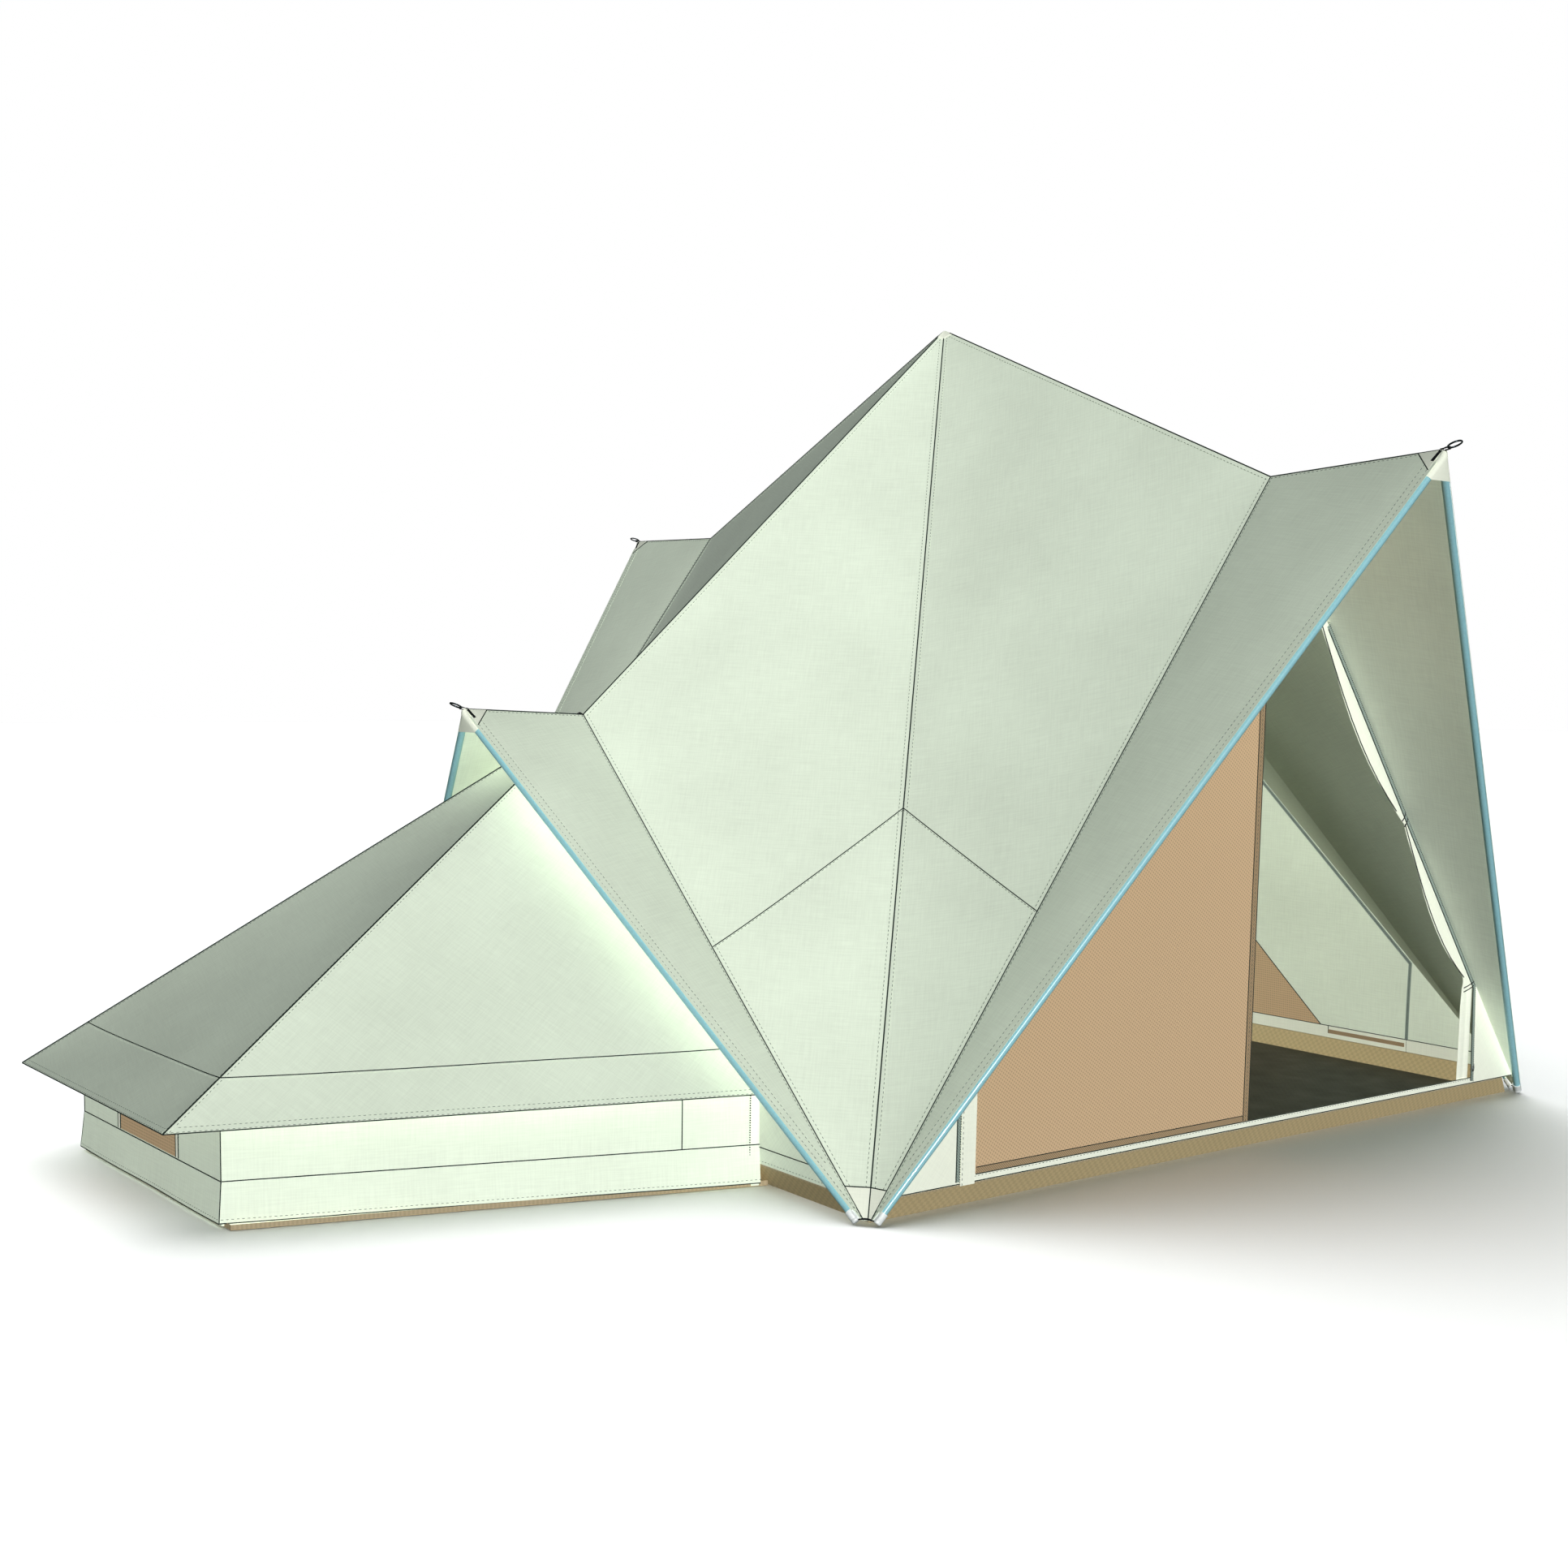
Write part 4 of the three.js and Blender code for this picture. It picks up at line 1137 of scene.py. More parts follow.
    def underside(self, corners: Path, hint: Vector, depth: float) -> tuple[Vector, Vector]:
        """A point on, and the outward normal of, the plane a depth under three corners."""
        a, b, c = corners
        normal = (b - a).cross(c - a).normalized()
        normal = normal if normal.dot(hint) > 0 else -normal
        return a - normal * depth, normal


@dataclass
class Porches:
    """Eight porch wings, with the patches and caps on the A-frames' tops."""

    plan: Plan
    beads: BeadRow
    cords: CordAlong
    frames: Frames
    sag: float = -6.0
    hem_width: float = 26.0
    hem_past: float = 9.0
    patch_back: float = 75.0
    patch_down: float = 72.0
    cap_long: float = 74.0
    cap_thick: float = 1.4

    def build(self) -> None:
        """Make the wings, the tip patches, the caps and the sewing."""
        trim = Trim("porch", Slot.PORCH, self.beads, self.cords)
        hems = Shape()
        patches = Shape()
        straps = Shape()
        for i, side in enumerate(self.plan.sides):
            ridge = [side.knee, side.top]
            trim.piping.append([point + UP * 1.4 for point in ridge])
            for j, half in enumerate(side.halves):
                self.wing(side, half, 20.0 + 2 * i + j, trim, hems, patches, straps)
            self.tip_cap(side)
        hems.piece("porch_hems", CANVAS, Slot.PORCH)
        patches.piece("porch_tip_patches", CANVAS_PATCH, Slot.PORCH)
        straps.piece("porch_tip_straps", WEBBING, Slot.WEB)
        trim.finish()

    def wing(self, side: Side, half: Half, seed: float, trim: Trim, hems: Shape, patches: Shape,
             straps: Shape) -> None:
        """One porch wing."""
        knee, top, corner = side.knee, side.top, half.corner
        low = self.plan.corner_trim
        outline = [knee, top, at_height(corner, top, low), at_height(corner, knee, low)]
        cut = Panel(outline, half.across, key=[knee, top, corner], top=0.8, sag=self.sag, seed=seed)
        node = f"porch_{side.name}_{half.label}"
        piece = cut.cloth().piece(f"canvas_{node}", CANVAS, Slot.PORCH, stands_for=[node])
        cut.declare(piece, Hold.STRETCHED, [f"leg_tube_{side.name}_{half.label}"])
        _, top_in, corner_in = cut.shrunk((self.hem_width - self.hem_past) / 2)
        start, end = top_in.lerp(corner_in, 0.012), at_height(corner_in, top_in, low + 26)
        hems.join(cut.strip([start, end], self.hem_width + self.hem_past - 1))
        for distance in (4.0, self.hem_width - 3):
            rows = cut.shrunk(distance)
            trim.rows.append(cut.run([rows[1], rows[2]], 0.9))
        rows = cut.shrunk(7.0)
        trim.rows.append(cut.run([rows[0], rows[1]], 0.3))
        trim.rows.append(cut.run([rows[0], rows[2]], 0.3))
        trim.lines.append(cut.run([knee, at_height(corner, knee, low)], 0.4))
        back = top.lerp(knee, self.patch_back / (knee - top).length)
        down = top.lerp(corner, self.patch_down / (corner - top).length)
        centre = (back + down + top) / 3
        patches.join(cut.patch([p.lerp(centre, 0.02) for p in (top, back, down)], 0.9, 0.8, spacing=20))
        trim.lines.append(cut.run([back, down], 1.4, step=20))
        start = top.lerp(back, 0.06).lerp(down, 0.05)
        end = top.lerp(down, 0.62).lerp(back, 0.1)
        straps.join(cut.strip([start, end], 9, 1.2, 1.9))

    def tip_cap(self, side: Side) -> None:
        """The cream cap wrapped round both tubes at an A-frame's top."""
        lines = [self.frames.line(side, half) for half in side.halves]
        knuckle = lines[0][2]
        front = (lines[0][1] + lines[1][1]).normalized().cross(side.halves[1].across)
        front = front if front.dot(side.out) > 0 else -front
        rows = 8
        outer: list[Path] = []
        inner: list[Path] = []
        for i in range(rows + 1):
            down = -16.0 + (self.cap_long + 16.0) * i / rows
            ring_out, ring_in = [], []
            slim = 0.6 + 0.4 * min(1.0, (down + 16.0) / 12.0)
            for way in (0, 1):
                edge, across = lines[way][1], side.halves[way].across
                centre = knuckle - edge * max(down, 0.0)
                centre += (lines[0][1] + lines[1][1]).normalized() * max(-down, 0.0)
                flat = (across - edge * across.dot(edge)).normalized()
                nose = (front - edge * front.dot(edge)).normalized()
                turns = [-70 + 160 * k / 6 for k in range(7)]
                if way:
                    turns.reverse()
                for turn in turns:
                    angle = math.radians(turn)
                    away = flat * math.cos(angle) + nose * math.sin(angle)
                    for ring, radius in ((ring_out, self.frames.radius + 0.6 + self.cap_thick),
                                         (ring_in, self.frames.radius + 0.6)):
                        ring.append(centre + away * (radius * slim))
            outer.append(ring_out)
            inner.append(ring_in)
        shape = Shape()
        wide = len(outer[0])
        for grid in (outer, inner):
            for row in grid:
                shape.points += row
        size = (rows + 1) * wide
        for i in range(rows):
            for j in range(wide - 1):
                quad = (i * wide + j, (i + 1) * wide + j, (i + 1) * wide + j + 1, i * wide + j + 1)
                shape.faces += [quad, tuple(k + size for k in reversed(quad))]
        border = [j for j in range(wide)] + [i * wide + wide - 1 for i in range(1, rows + 1)]
        border += [rows * wide + j for j in range(wide - 2, -1, -1)] + [i * wide for i in range(rows - 1, 0, -1)]
        for a, b in zip(border, [*border[1:], border[0]]):
            shape.faces.append((a, b, b + size, a + size))
        probe = shape.faces[2 * ((rows // 2) * (wide - 1) + wide // 2)]
        a, b, c = (shape.points[k] for k in probe[:3])
        if (b - a).cross(c - a).dot(front) < 0:
            shape.faces = [tuple(reversed(face)) for face in shape.faces]
        shape.flats = [tuple((k % wide * 3.0, k // wide * 10.0) for k in face) for face in shape.faces]
        shape.piece(f"porch_tip_cap_{side.name}", CANVAS_PATCH, Slot.PORCH, crease=50)


@dataclass
class CentrePole:
    """The telescoping pole under the peak."""

    base: float = 3.3
    foot_radius: float = 23.0
    foot_height: float = 40.0
    floor: float = 8.0
    lower_radius: float = 16.0
    lower_wall: float = 1.8
    lower_top: float = 1500.0
    upper_radius: float = 13.0
    upper_wall: float = 1.5
    upper_bottom: float = 1290.0
    collar_radius: float = 24.0
    collar_height: float = 46.0
    spigot_radius: float = 5.0
    spigot_length: float = 34.0

    def build(self) -> None:
        """Make the foot, both tubes and the clamp."""
        axis = Vector()
        seat = self.base + self.floor
        r = self.foot_radius
        bore = self.lower_radius + 0.3
        top = self.base + self.foot_height
        profile = [(0.0, self.base), (r - 2, self.base), (r, self.base + 2), (r, self.base + 7)]
        for i in range(4):
            z = self.base + 9 + 6 * i
            profile += [(r - 1.6, z), (r - 1.6, z + 2), (r - 0.3, z + 3), (r - 0.3, z + 5)]
        profile += [(bore + 2.2, top - 2), (bore + 1.4, top), (bore, top), (bore, seat), (0.0, seat)]
        turned(profile, axis, UP, 40).piece("centre_pole_foot", RUBBER, Slot.RUBBER, stands_for=["pole_foot"])

        low, high = seat + 0.3, self.lower_top
        inner = self.lower_radius - self.lower_wall
        profile = [(inner, low), (self.lower_radius, low), (self.lower_radius, high - 0.6),
                   (self.lower_radius - 0.6, high), (inner, high)]
        turned(profile, axis, UP, 48, ring=True).piece("centre_pole_lower", TUBE, Slot.TUBE,
                                                       stands_for=["pole_lower_tube"])
        self.clamp()
        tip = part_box("pole_upper_tube")[1].z / MM
        shoulder = tip - self.spigot_length
        hollow = self.upper_radius - self.upper_wall
        profile = [(hollow, self.upper_bottom), (self.upper_radius, self.upper_bottom),
                   (self.upper_radius, shoulder - 1), (self.upper_radius - 1, shoulder),
                   (self.spigot_radius + 1.5, shoulder), (self.spigot_radius, shoulder + 1.5),
                   (self.spigot_radius, tip - 2.5), (self.spigot_radius - 1.5, tip - 0.4), (0.0, tip),
                   ]
        tube = turned([*profile, (0.0, shoulder - 30), (hollow, shoulder - 30)], axis, UP, 48, ring=True)
        tube.piece("centre_pole_upper", TUBE, Slot.TUBE, Body.POLE, ["pole_upper_tube"])

    def clamp(self) -> None:
        """The clamp collar with its ribs and thumb screw."""
        low = self.lower_top - self.collar_height / 2
        high = self.lower_top + self.collar_height / 2
        r = self.collar_radius
        grip = self.lower_radius + 0.3
        slide = self.upper_radius + 0.4
        profile = [(grip, low), (r - 4, low), (r - 3, low + 2), (r - 3, low + 8), (r - 0.8, low + 10)]
        for i in range(4):
            z = low + 11 + 6 * i
            profile += [(r - 0.8, z), (r - 0.2, z + 1), (r - 0.2, z + 3), (r - 0.8, z + 4)]
        profile += [(r - 3, high - 8), (r - 3, high - 2), (r - 5, high), (slide, high),
                    (slide, self.lower_top + 0.3), (grip, self.lower_top + 0.3)]
        shape = turned(profile, Vector(), UP, 40, ring=True)
        knob = [(0.0, 0.0), (3.0, 0.0), (3.0, 5.0), (7.5, 5.5), (8.0, 7.0), (8.0, 12.0), (6.5, 13.5), (0.0, 13.5)]
        shape.join(turned(knob, Vector((r - 3.5, 0, self.lower_top)), Vector((1, 0, 0)), 12))
        shape.piece("centre_pole_clamp", BLACK_NYLON, Slot.BLACK, stands_for=["pole_clamp_collar"])


@dataclass
class Door:
    """The front wall: gussets, sill, zips, the net half door and the rolled half door."""

    plan: Plan
    beads: BeadRow
    cords: CordAlong
    sill_top: float = 90.0
    gusset: float = 1228.0
    strip_edge: float = 1146.0
    overlap: float = 24.0
    hinge_gap: float = 6.0
    side_gap: float = 1.2
    flap_start: float = 250.0
    flap_foot: float = 62.0
    tie: float = 772.5
    left_zip: float = 1212.0
    tape_width: float = 15.0
    tooth_pitch: float = 7.0
    tooth_size: tuple[float, float, float] = (2.2, 4.4, 3.6)

    def build(self) -> None:
        """Make the wall, the doors and the zips."""
        self.side = self.plan.side("front")
        self.trim = Trim("front_wall", Slot.WALL, self.beads, self.cords)
        self.wall()
        self.net_door()
        self.rolled_door()
        self.zips()
        self.slider()
        self.trim.finish()

    def below(self, along: float, distance: float) -> float:
        """The height of a point a distance square under the slanted edge."""
        slope = math.hypot(self.side.knee.z, self.side.half_width) / self.side.half_width
        return self.side.hip_z(along) - distance * slope

    def wall(self) -> None:
        """The U of canvas: two corner gussets joined by a sill, and the storm strip."""
        at = self.side.on_wall
        foot = self.side.hip_half(self.plan.wall_foot)
        low, high = self.plan.wall_foot, self.sill_top
        cuts = {"sill": [at(-self.strip_edge, low), at(self.gusset, low), at(self.gusset, high),
                         at(-self.strip_edge, high)],
                "gusset_left": [at(-foot, low), at(-self.strip_edge, low),
                                at(-self.strip_edge, self.side.hip_z(self.strip_edge))],
                "gusset_right": [at(foot, low), at(self.gusset, self.side.hip_z(self.gusset)),
                                 at(self.gusset, low)]}
        for label, outline in cuts.items():
            cut = Panel(outline, self.side.out)
            stands_for = ["front_wall"] if label == "sill" else []
            piece = cut.cloth().piece(f"front_wall_{label}", CANVAS_PATCH, Slot.WALL, stands_for=stands_for)
            cut.declare(piece, Hold.STRETCHED, ["groundsheet_tray"])
        self.cut = Panel(cuts["sill"], self.side.out)
        low += 2
        self.trim.lines.append(self.cut.run([at(-foot + 4, low), at(foot - 4, low)], 0.4))
        self.trim.lines.append(self.cut.run([at(-self.strip_edge + 2, self.sill_top - 1),
                                             at(self.gusset, self.sill_top - 1)], 0.4))
        self.trim.rows.append(self.cut.run([at(-self.strip_edge, self.sill_top - 6),
                                            at(self.gusset - 4, self.sill_top - 6)], 0.3))
        strip = [at(-self.left_zip + 8, 64), at(-self.strip_edge - 4, 64), at(-self.strip_edge - 12, 292),
                 at(-self.strip_edge - 12, self.below(self.strip_edge + 12, 10)),
                 at(-self.left_zip + 8, self.below(self.left_zip - 8, 10))]
        storm = Panel(strip, self.side.out, top=2.6, thick=1.4)
        piece = storm.cloth().piece("door_storm_strip", CANVAS_PATCH, Slot.WALL)
        storm.declare(piece, Hold.STRETCHED, ["front_wall_sill"])
        self.trim.rows.append(storm.run([at(-self.left_zip + 14, 68), at(-self.left_zip + 14, 430)], 0.4))

    def net_door(self) -> None:
        """The half door of insect net with its bindings."""
        at = self.side.on_wall
        low = self.sill_top + 0.6
        left = -self.strip_edge + self.side_gap
        ridge = self.below(0, self.hinge_gap)
        outline = [at(left, low), at(self.overlap, low), at(self.overlap, self.below(self.overlap, 6)),
                   at(0, ridge), at(left, self.below(left, self.hinge_gap))]
        key = [at(left - 180, low), at(self.overlap, low), at(self.overlap, ridge)]
        cut = Panel(outline, self.side.out, key=key, thick=1.2, sag=6.0, seed=31.0)
        cut.flat = [cut.to_flat(point) for point in outline]
        piece = cut.cloth().piece("door_net_panel", NET, Slot.NET, Body.DOOR, ["door_mesh_panel"])
        cut.declare(piece, Hold.STRETCHED, ["front_wall_sill"])
        binding = Shape()
        edge = self.overlap - 13
        binding.join(cut.strip([at(edge, low + 1), at(edge, self.below(edge, 26))], 26, 1.0))
        binding.join(cut.strip([at(left + 2, low + 9), at(edge - 14, low + 9)], 17, 0.9))
        binding.join(cut.strip([at(left + 12, self.below(left + 12, 17)), at(-22, self.below(-22, 17))], 20, 0.9))
        binding.piece("door_net_binding", NET_BINDING, Slot.NET, Body.DOOR)
        trim = Trim("door", Slot.NET, self.beads, self.cords, Body.DOOR, line_radius=1.2)
        for along in (self.overlap - 1.5, self.overlap - 25):
            trim.lines.append(cut.run([at(along, low + 2), at(along, self.below(along, 20))], 1.2))
        trim.lines.append(cut.run([at(left + 2, low + 18), at(-2, low + 18)], 0.8))
        trim.rows.append(cut.run([at(edge, low + 3), at(edge, self.below(edge, 26))], 1.3))
        trim.rows.append(cut.run([at(left + 16, self.below(left + 16, 22)), at(-24, self.below(-24, 22))], 1.2))
        trim.finish()

    def swag(self, start: float, end: float, steps: int = 10) -> Path:
        """The hanging edge of the rolled door between two ties."""
        points = []
        for i in range(steps):
            share = i / steps
            along = start + (end - start) * share
            points.append(self.side.on_wall(along, self.below(along, 22 + 48 * math.sin(math.pi * share))))
        return points

    def rolled_door(self) -> None:
        """The canvas half door, folded into pleats beside its zip and held by two ties."""
        at = self.side.on_wall
        edge = self.gusset - 13
        tie = self.tie
        foot = edge - self.flap_foot
        top = at(edge, self.below(edge, 2.4))
        bend = at(foot, self.below(edge - 15, self.flap_foot))
        outlines = {"upper": [top, at(self.flap_start, self.below(self.flap_start, 2.4)),
                              *self.swag(self.flap_start, tie), *self.swag(tie, edge - 15), bend],
                    "lower": [at(edge, self.sill_top - 6), top, bend, at(foot, self.sill_top - 6)]}
        slant = Vector((self.side.half_width, self.side.knee.z)).normalized()

        def pleats(flat: Vector) -> float:
            """Soft ridges along the slanted edge, and upright below the bend."""
            spot = cut.origin + cut.along * flat.x + cut.across * flat.y
            depth = (self.side.half_width - spot.x) * slant.y - spot.z * slant.x
            return 2.2 * math.sin(min(depth, edge - spot.x) / 6.2) - 1.0

        for label, outline in outlines.items():
            cut = Panel(outline, self.side.out, top=-4.2, thick=1.6, spacing=13.0)
            cut.relief = pleats
            stands_for = ["door_flap_folded"] if label == "upper" else []
            piece = cut.cloth().piece(f"door_rolled_{label}", CANVAS_PATCH, Slot.WALL, stands_for=stands_for,
                                      crease=60)
            cut.declare(piece, Hold.FOLDED, ["front_wall_gusset_right"])
        outer = [at(self.flap_start, self.below(self.flap_start, 22)), *self.swag(self.flap_start, tie)[1:]]
        self.trim.lines.append([p + self.side.out * -2.0 for p in outer])
        lower = self.swag(tie, edge - 15)
        self.trim.lines.append([p + self.side.out * -2.0 for p in lower])
        ties = Shape()
        for along, span, slanted in ((tie, 62.0, True), (edge - 12, 60.0, False)):
            for shift in (-7.0, 7.0):
                if slanted:
                    a = at(along + shift, self.below(along + shift, 4))
                    b = at(along + shift - 16, self.below(along + shift - 16, 34))
                else:
                    a = at(edge - 1, self.below(edge, 6) + shift)
                    b = at(edge - span, self.below(edge, 6) + shift - 18)
                path = [a.lerp(b, i / 5) + self.side.out * (1.5 + 3 * math.sin(math.pi * i / 5))
                        for i in range(6)]
                ties.join(sweep(path, band_section(3.0, 1.6), UP))
        ties.piece("door_ties", WEBBING, Slot.WEB, crease=50)

    def zips(self) -> None:
        """The coil zips of both half doors on their tapes."""
        at = self.side.on_wall
        bend = 1218.0
        drop = 9.0
        hip = [at(313, self.below(313, drop)), at(bend, self.below(bend, drop)), at(1236, 76)]
        teeth = [at(313, self.below(313, 3.5)), at(bend + 6, self.below(bend + 6, 5)), at(1241, 76)]
        left = [at(-self.left_zip, 76), at(-self.left_zip, self.below(self.left_zip, 8))]
        left_teeth = [point + Vector((5, 0, 0)) for point in left]
        surface = Panel([at(-1500, 60), at(1500, 60), at(0, 2000)], self.side.out)
        tapes = surface.strip(hip, self.tape_width, 0.7, 0.3).join(surface.strip(left, self.tape_width, 0.7, 0.3))
        tapes.piece("door_zip_tapes", ZIP_TAPE, Slot.WALL)
        rows = [surface.run(teeth, 2.2), surface.run(left_teeth, 2.2)]
        size = tuple(value * MM for value in self.tooth_size)
        inputs = {"Pitch": self.tooth_pitch * MM, "Grain Size": size, "Material": ZIP_COIL.material()}
        settle(grow("door_zip_coils", rows, self.beads.tree, inputs), ZIP_COIL, Body.TENT)
        self.trim.lines.append(surface.run([at(-self.left_zip - 7, 76),
                                            at(-self.left_zip - 7, self.below(self.left_zip + 7, 8))], 0.8))
        edge = [at(313, self.below(313, 16)), at(bend - 6, self.below(bend - 6, 17)), at(1228, 78)]
        self.trim.lines.append(surface.run(edge, 1.0))

    def slider(self) -> None:
        """The zip slider: one shell on a neck, a bridge and a pull."""
        low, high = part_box("door_zip_slider")
        low, high = low / MM, high / MM
        mid = (low + high) / 2
        width = high.x - low.x
        depth = high.y - low.y
        shape = Shape()
        outline = [(-0.32, 0.0), (0.32, 0.0), (0.5, 0.45), (0.42, 0.62), (-0.42, 0.62), (-0.5, 0.45)]
        corners = [Vector((mid.x + x * width, low.y + depth * 0.4, low.z + z * (high.z - low.z)))
                   for x, z in outline]
        shape.join(Panel(corners, self.side.out, top=0.9, thick=1.8, spacing=30).cloth())
        neck = [Vector((mid.x, high.y - 3.6, low.z + 8)), Vector((mid.x, low.y + depth * 0.4, low.z + 8))]
        shape.join(sweep(neck, round_section(2.0, 8), UP))
        arch = [Vector((mid.x, low.y + depth * 0.5 - 2.4 * math.sin(math.pi * i / 6), low.z + 3 + 2 * i))
                for i in range(7)]
        shape.join(sweep(arch, band_section(3.0, 1.0), Vector((1, 0, 0))))
        pull = [Vector((mid.x, low.y + 0.9, high.z - 14 + 2.0 * i)) for i in range(8)]
        shape.join(sweep(pull, band_section(6.0, 1.2), Vector((1, 0, 0))))
        shape.piece("door_zip_runner", SLIDER_ZINC, Slot.ZIP, Body.SLIDER, ["door_zip_slider"], crease=30)


@dataclass
class Walls:
    """The back and right walls and the arched wall into the annexe."""

    plan: Plan
    beads: BeadRow
    cords: CordAlong
    sag: float = 10.0
    sill: float = 116.0
    window_half: float = 602.0
    zip_half: float = 974.0
    zip_bend: float = 407.0
    arch_half: float = 918.0
    arch_foot_z: float = 283.0
    arch_top_z: float = 1243.0

    def build(self) -> None:
        """Make the three walls."""
        self.trim = Trim("side_walls", Slot.WALL, self.beads, self.cords)
        self.back()
        self.right()
        self.left()
        self.trim.finish()

    def triangle(self, side: Side, seed: float) -> Panel:
        """A whole wall's cut."""
        foot = side.hip_half(self.plan.wall_foot)
        outline = [side.on_wall(-foot, self.plan.wall_foot), side.on_wall(foot, self.plan.wall_foot), side.knee]
        return Panel(outline, side.out, key=outline, sag=self.sag, seed=seed)

    def sewing(self, cut: Panel, side: Side) -> None:
        """Stitch rows round a whole wall and its sill band inside and out."""
        rows = cut.shrunk(10.0)
        for a, b in ((0, 1), (1, 2), (2, 0)):
            self.trim.rows.append(cut.run([rows[a], rows[b]], 0.4))
        for inner in (False, True):
            half = side.hip_half(self.sill) - 24
            line = [side.on_wall(-half, self.sill), side.on_wall(half, self.sill)]
            self.trim.lines.append(cut.run(line, 0.6, inner))

    def back(self) -> None:
        """The plain back wall with a centre seam."""
        side = self.plan.side("back")
        cut = self.triangle(side, 41.0)
        piece = cut.cloth().piece("canvas_back_wall", CANVAS, Slot.WALL, stands_for=["back_wall"])
        cut.declare(piece, Hold.STRETCHED, ["groundsheet_tray"])
        self.sewing(cut, side)
        for inner in (False, True):
            line = [side.on_wall(0, self.sill), side.on_wall(0, side.knee.z - 30)]
            self.trim.lines.append(cut.run(line, 0.6, inner))
        self.trim.rows.append(cut.run([side.on_wall(7, self.sill), side.on_wall(7, side.knee.z - 60)], 0.4))

    def right(self) -> None:
        """The right wall with its net window, zips and sill slots."""
        side = self.plan.side("right")
        cut = self.triangle(side, 42.0)
        piece = cut.cloth().piece("canvas_right_wall", CANVAS, Slot.WALL, stands_for=["right_wall"])
        cut.declare(piece, Hold.STRETCHED, ["groundsheet_tray"])
        self.sewing(cut, side)
        slope = side.knee.z / side.half_width
        at = side.on_wall
        corners = [at(-self.window_half, self.sill), at(self.window_half, self.sill),
                   at(0, self.sill + self.window_half * slope)]
        net = cut.patch(corners, 0.7, 0.2).join(cut.patch(corners, 0.7, 0.2, inner=True))
        net.piece("right_window_net", NET, Slot.NET)
        band = Shape()
        coils = []
        slots = Shape()
        for way in (-1, 1):
            upper = at(way * 40, self.zip_bend + (self.zip_half - 40) * slope)
            line = [upper, at(way * self.zip_half, self.zip_bend), at(way * self.zip_half, 70)]
            band.join(cut.strip(line, 13, 0.7, 0.3, inner=True))
            coils.append(cut.run(line, 1.4, inner=True))
            slot = [at(way * 636, 94), at(way * 966, 94)]
            slots.join(cut.strip(slot, 15, 0.5, 1.7, inner=True))
            self.trim.lines.append(cut.run([at(way * 636, 86), at(way * 636, self.sill)], 1.0, True))
        band.piece("right_wall_zip_tapes", ZIP_TAPE, Slot.WALL)
        slots.piece("right_wall_sill_slots", NET_BINDING, Slot.NET)
        sill = cut.patch([at(-1190, 70), at(1190, 70), at(1190, self.sill), at(-1190, self.sill)], 0.8, 0.4,
                         inner=True)
        sill.piece("right_wall_inner_sill", CANVAS_PATCH, Slot.WALL)
        size = (3.4 * MM, 3.4 * MM, 3.0 * MM)
        inputs = {"Pitch": 6 * MM, "Grain Size": size, "Material": ZIP_COIL.material()}
        settle(grow("right_wall_zip_coils", coils, self.beads.tree, inputs), ZIP_COIL, Body.TENT)
        for edge in (corners[1:], [corners[2], corners[0]]):
            self.trim.lines.append(cut.run(edge, 1.2, True))
            self.trim.lines.append(cut.run(edge, 1.2))

    def left(self) -> None:
        """The wall round the arch into the annexe."""
        side = self.plan.side("left")
        low = self.plan.wall_foot
        foot = side.hip_half(low)
        at = side.on_wall
        arch = [at(-self.arch_half, low), at(-self.arch_half, self.arch_foot_z), at(0, self.arch_top_z),
                at(self.arch_half, self.arch_foot_z), at(self.arch_half, low)]
        for label, outline in (("front", [at(-foot, low), *arch[:3], side.knee]),
                               ("back", [*arch[2:], at(foot, low), side.knee])):
            cut = Panel(outline, side.out)
            stands_for = ["left_wall"] if label == "front" else []
            piece = cut.cloth().piece(f"left_wall_{label}", CANVAS, Slot.WALL, stands_for=stands_for)
            cut.declare(piece, Hold.STRETCHED, ["groundsheet_tray"])
        for inner in (False, True):
            edge = [p + (side.knee - p).normalized() * 3 for p in arch]
            self.trim.piping.append(cut.run(edge, 0.5, inner))
        self.trim.rows.append(cut.run([at(-foot + 20, low + 9), at(-self.arch_half - 6, low + 9)], 0.4))
        self.trim.rows.append(cut.run([at(self.arch_half + 6, low + 9), at(foot - 20, low + 9)], 0.4))
        self.trim.lines.append(cut.run([at(-side.hip_half(self.sill) + 16, self.sill),
                                        at(-self.arch_half - 34, self.sill)], 0.6))


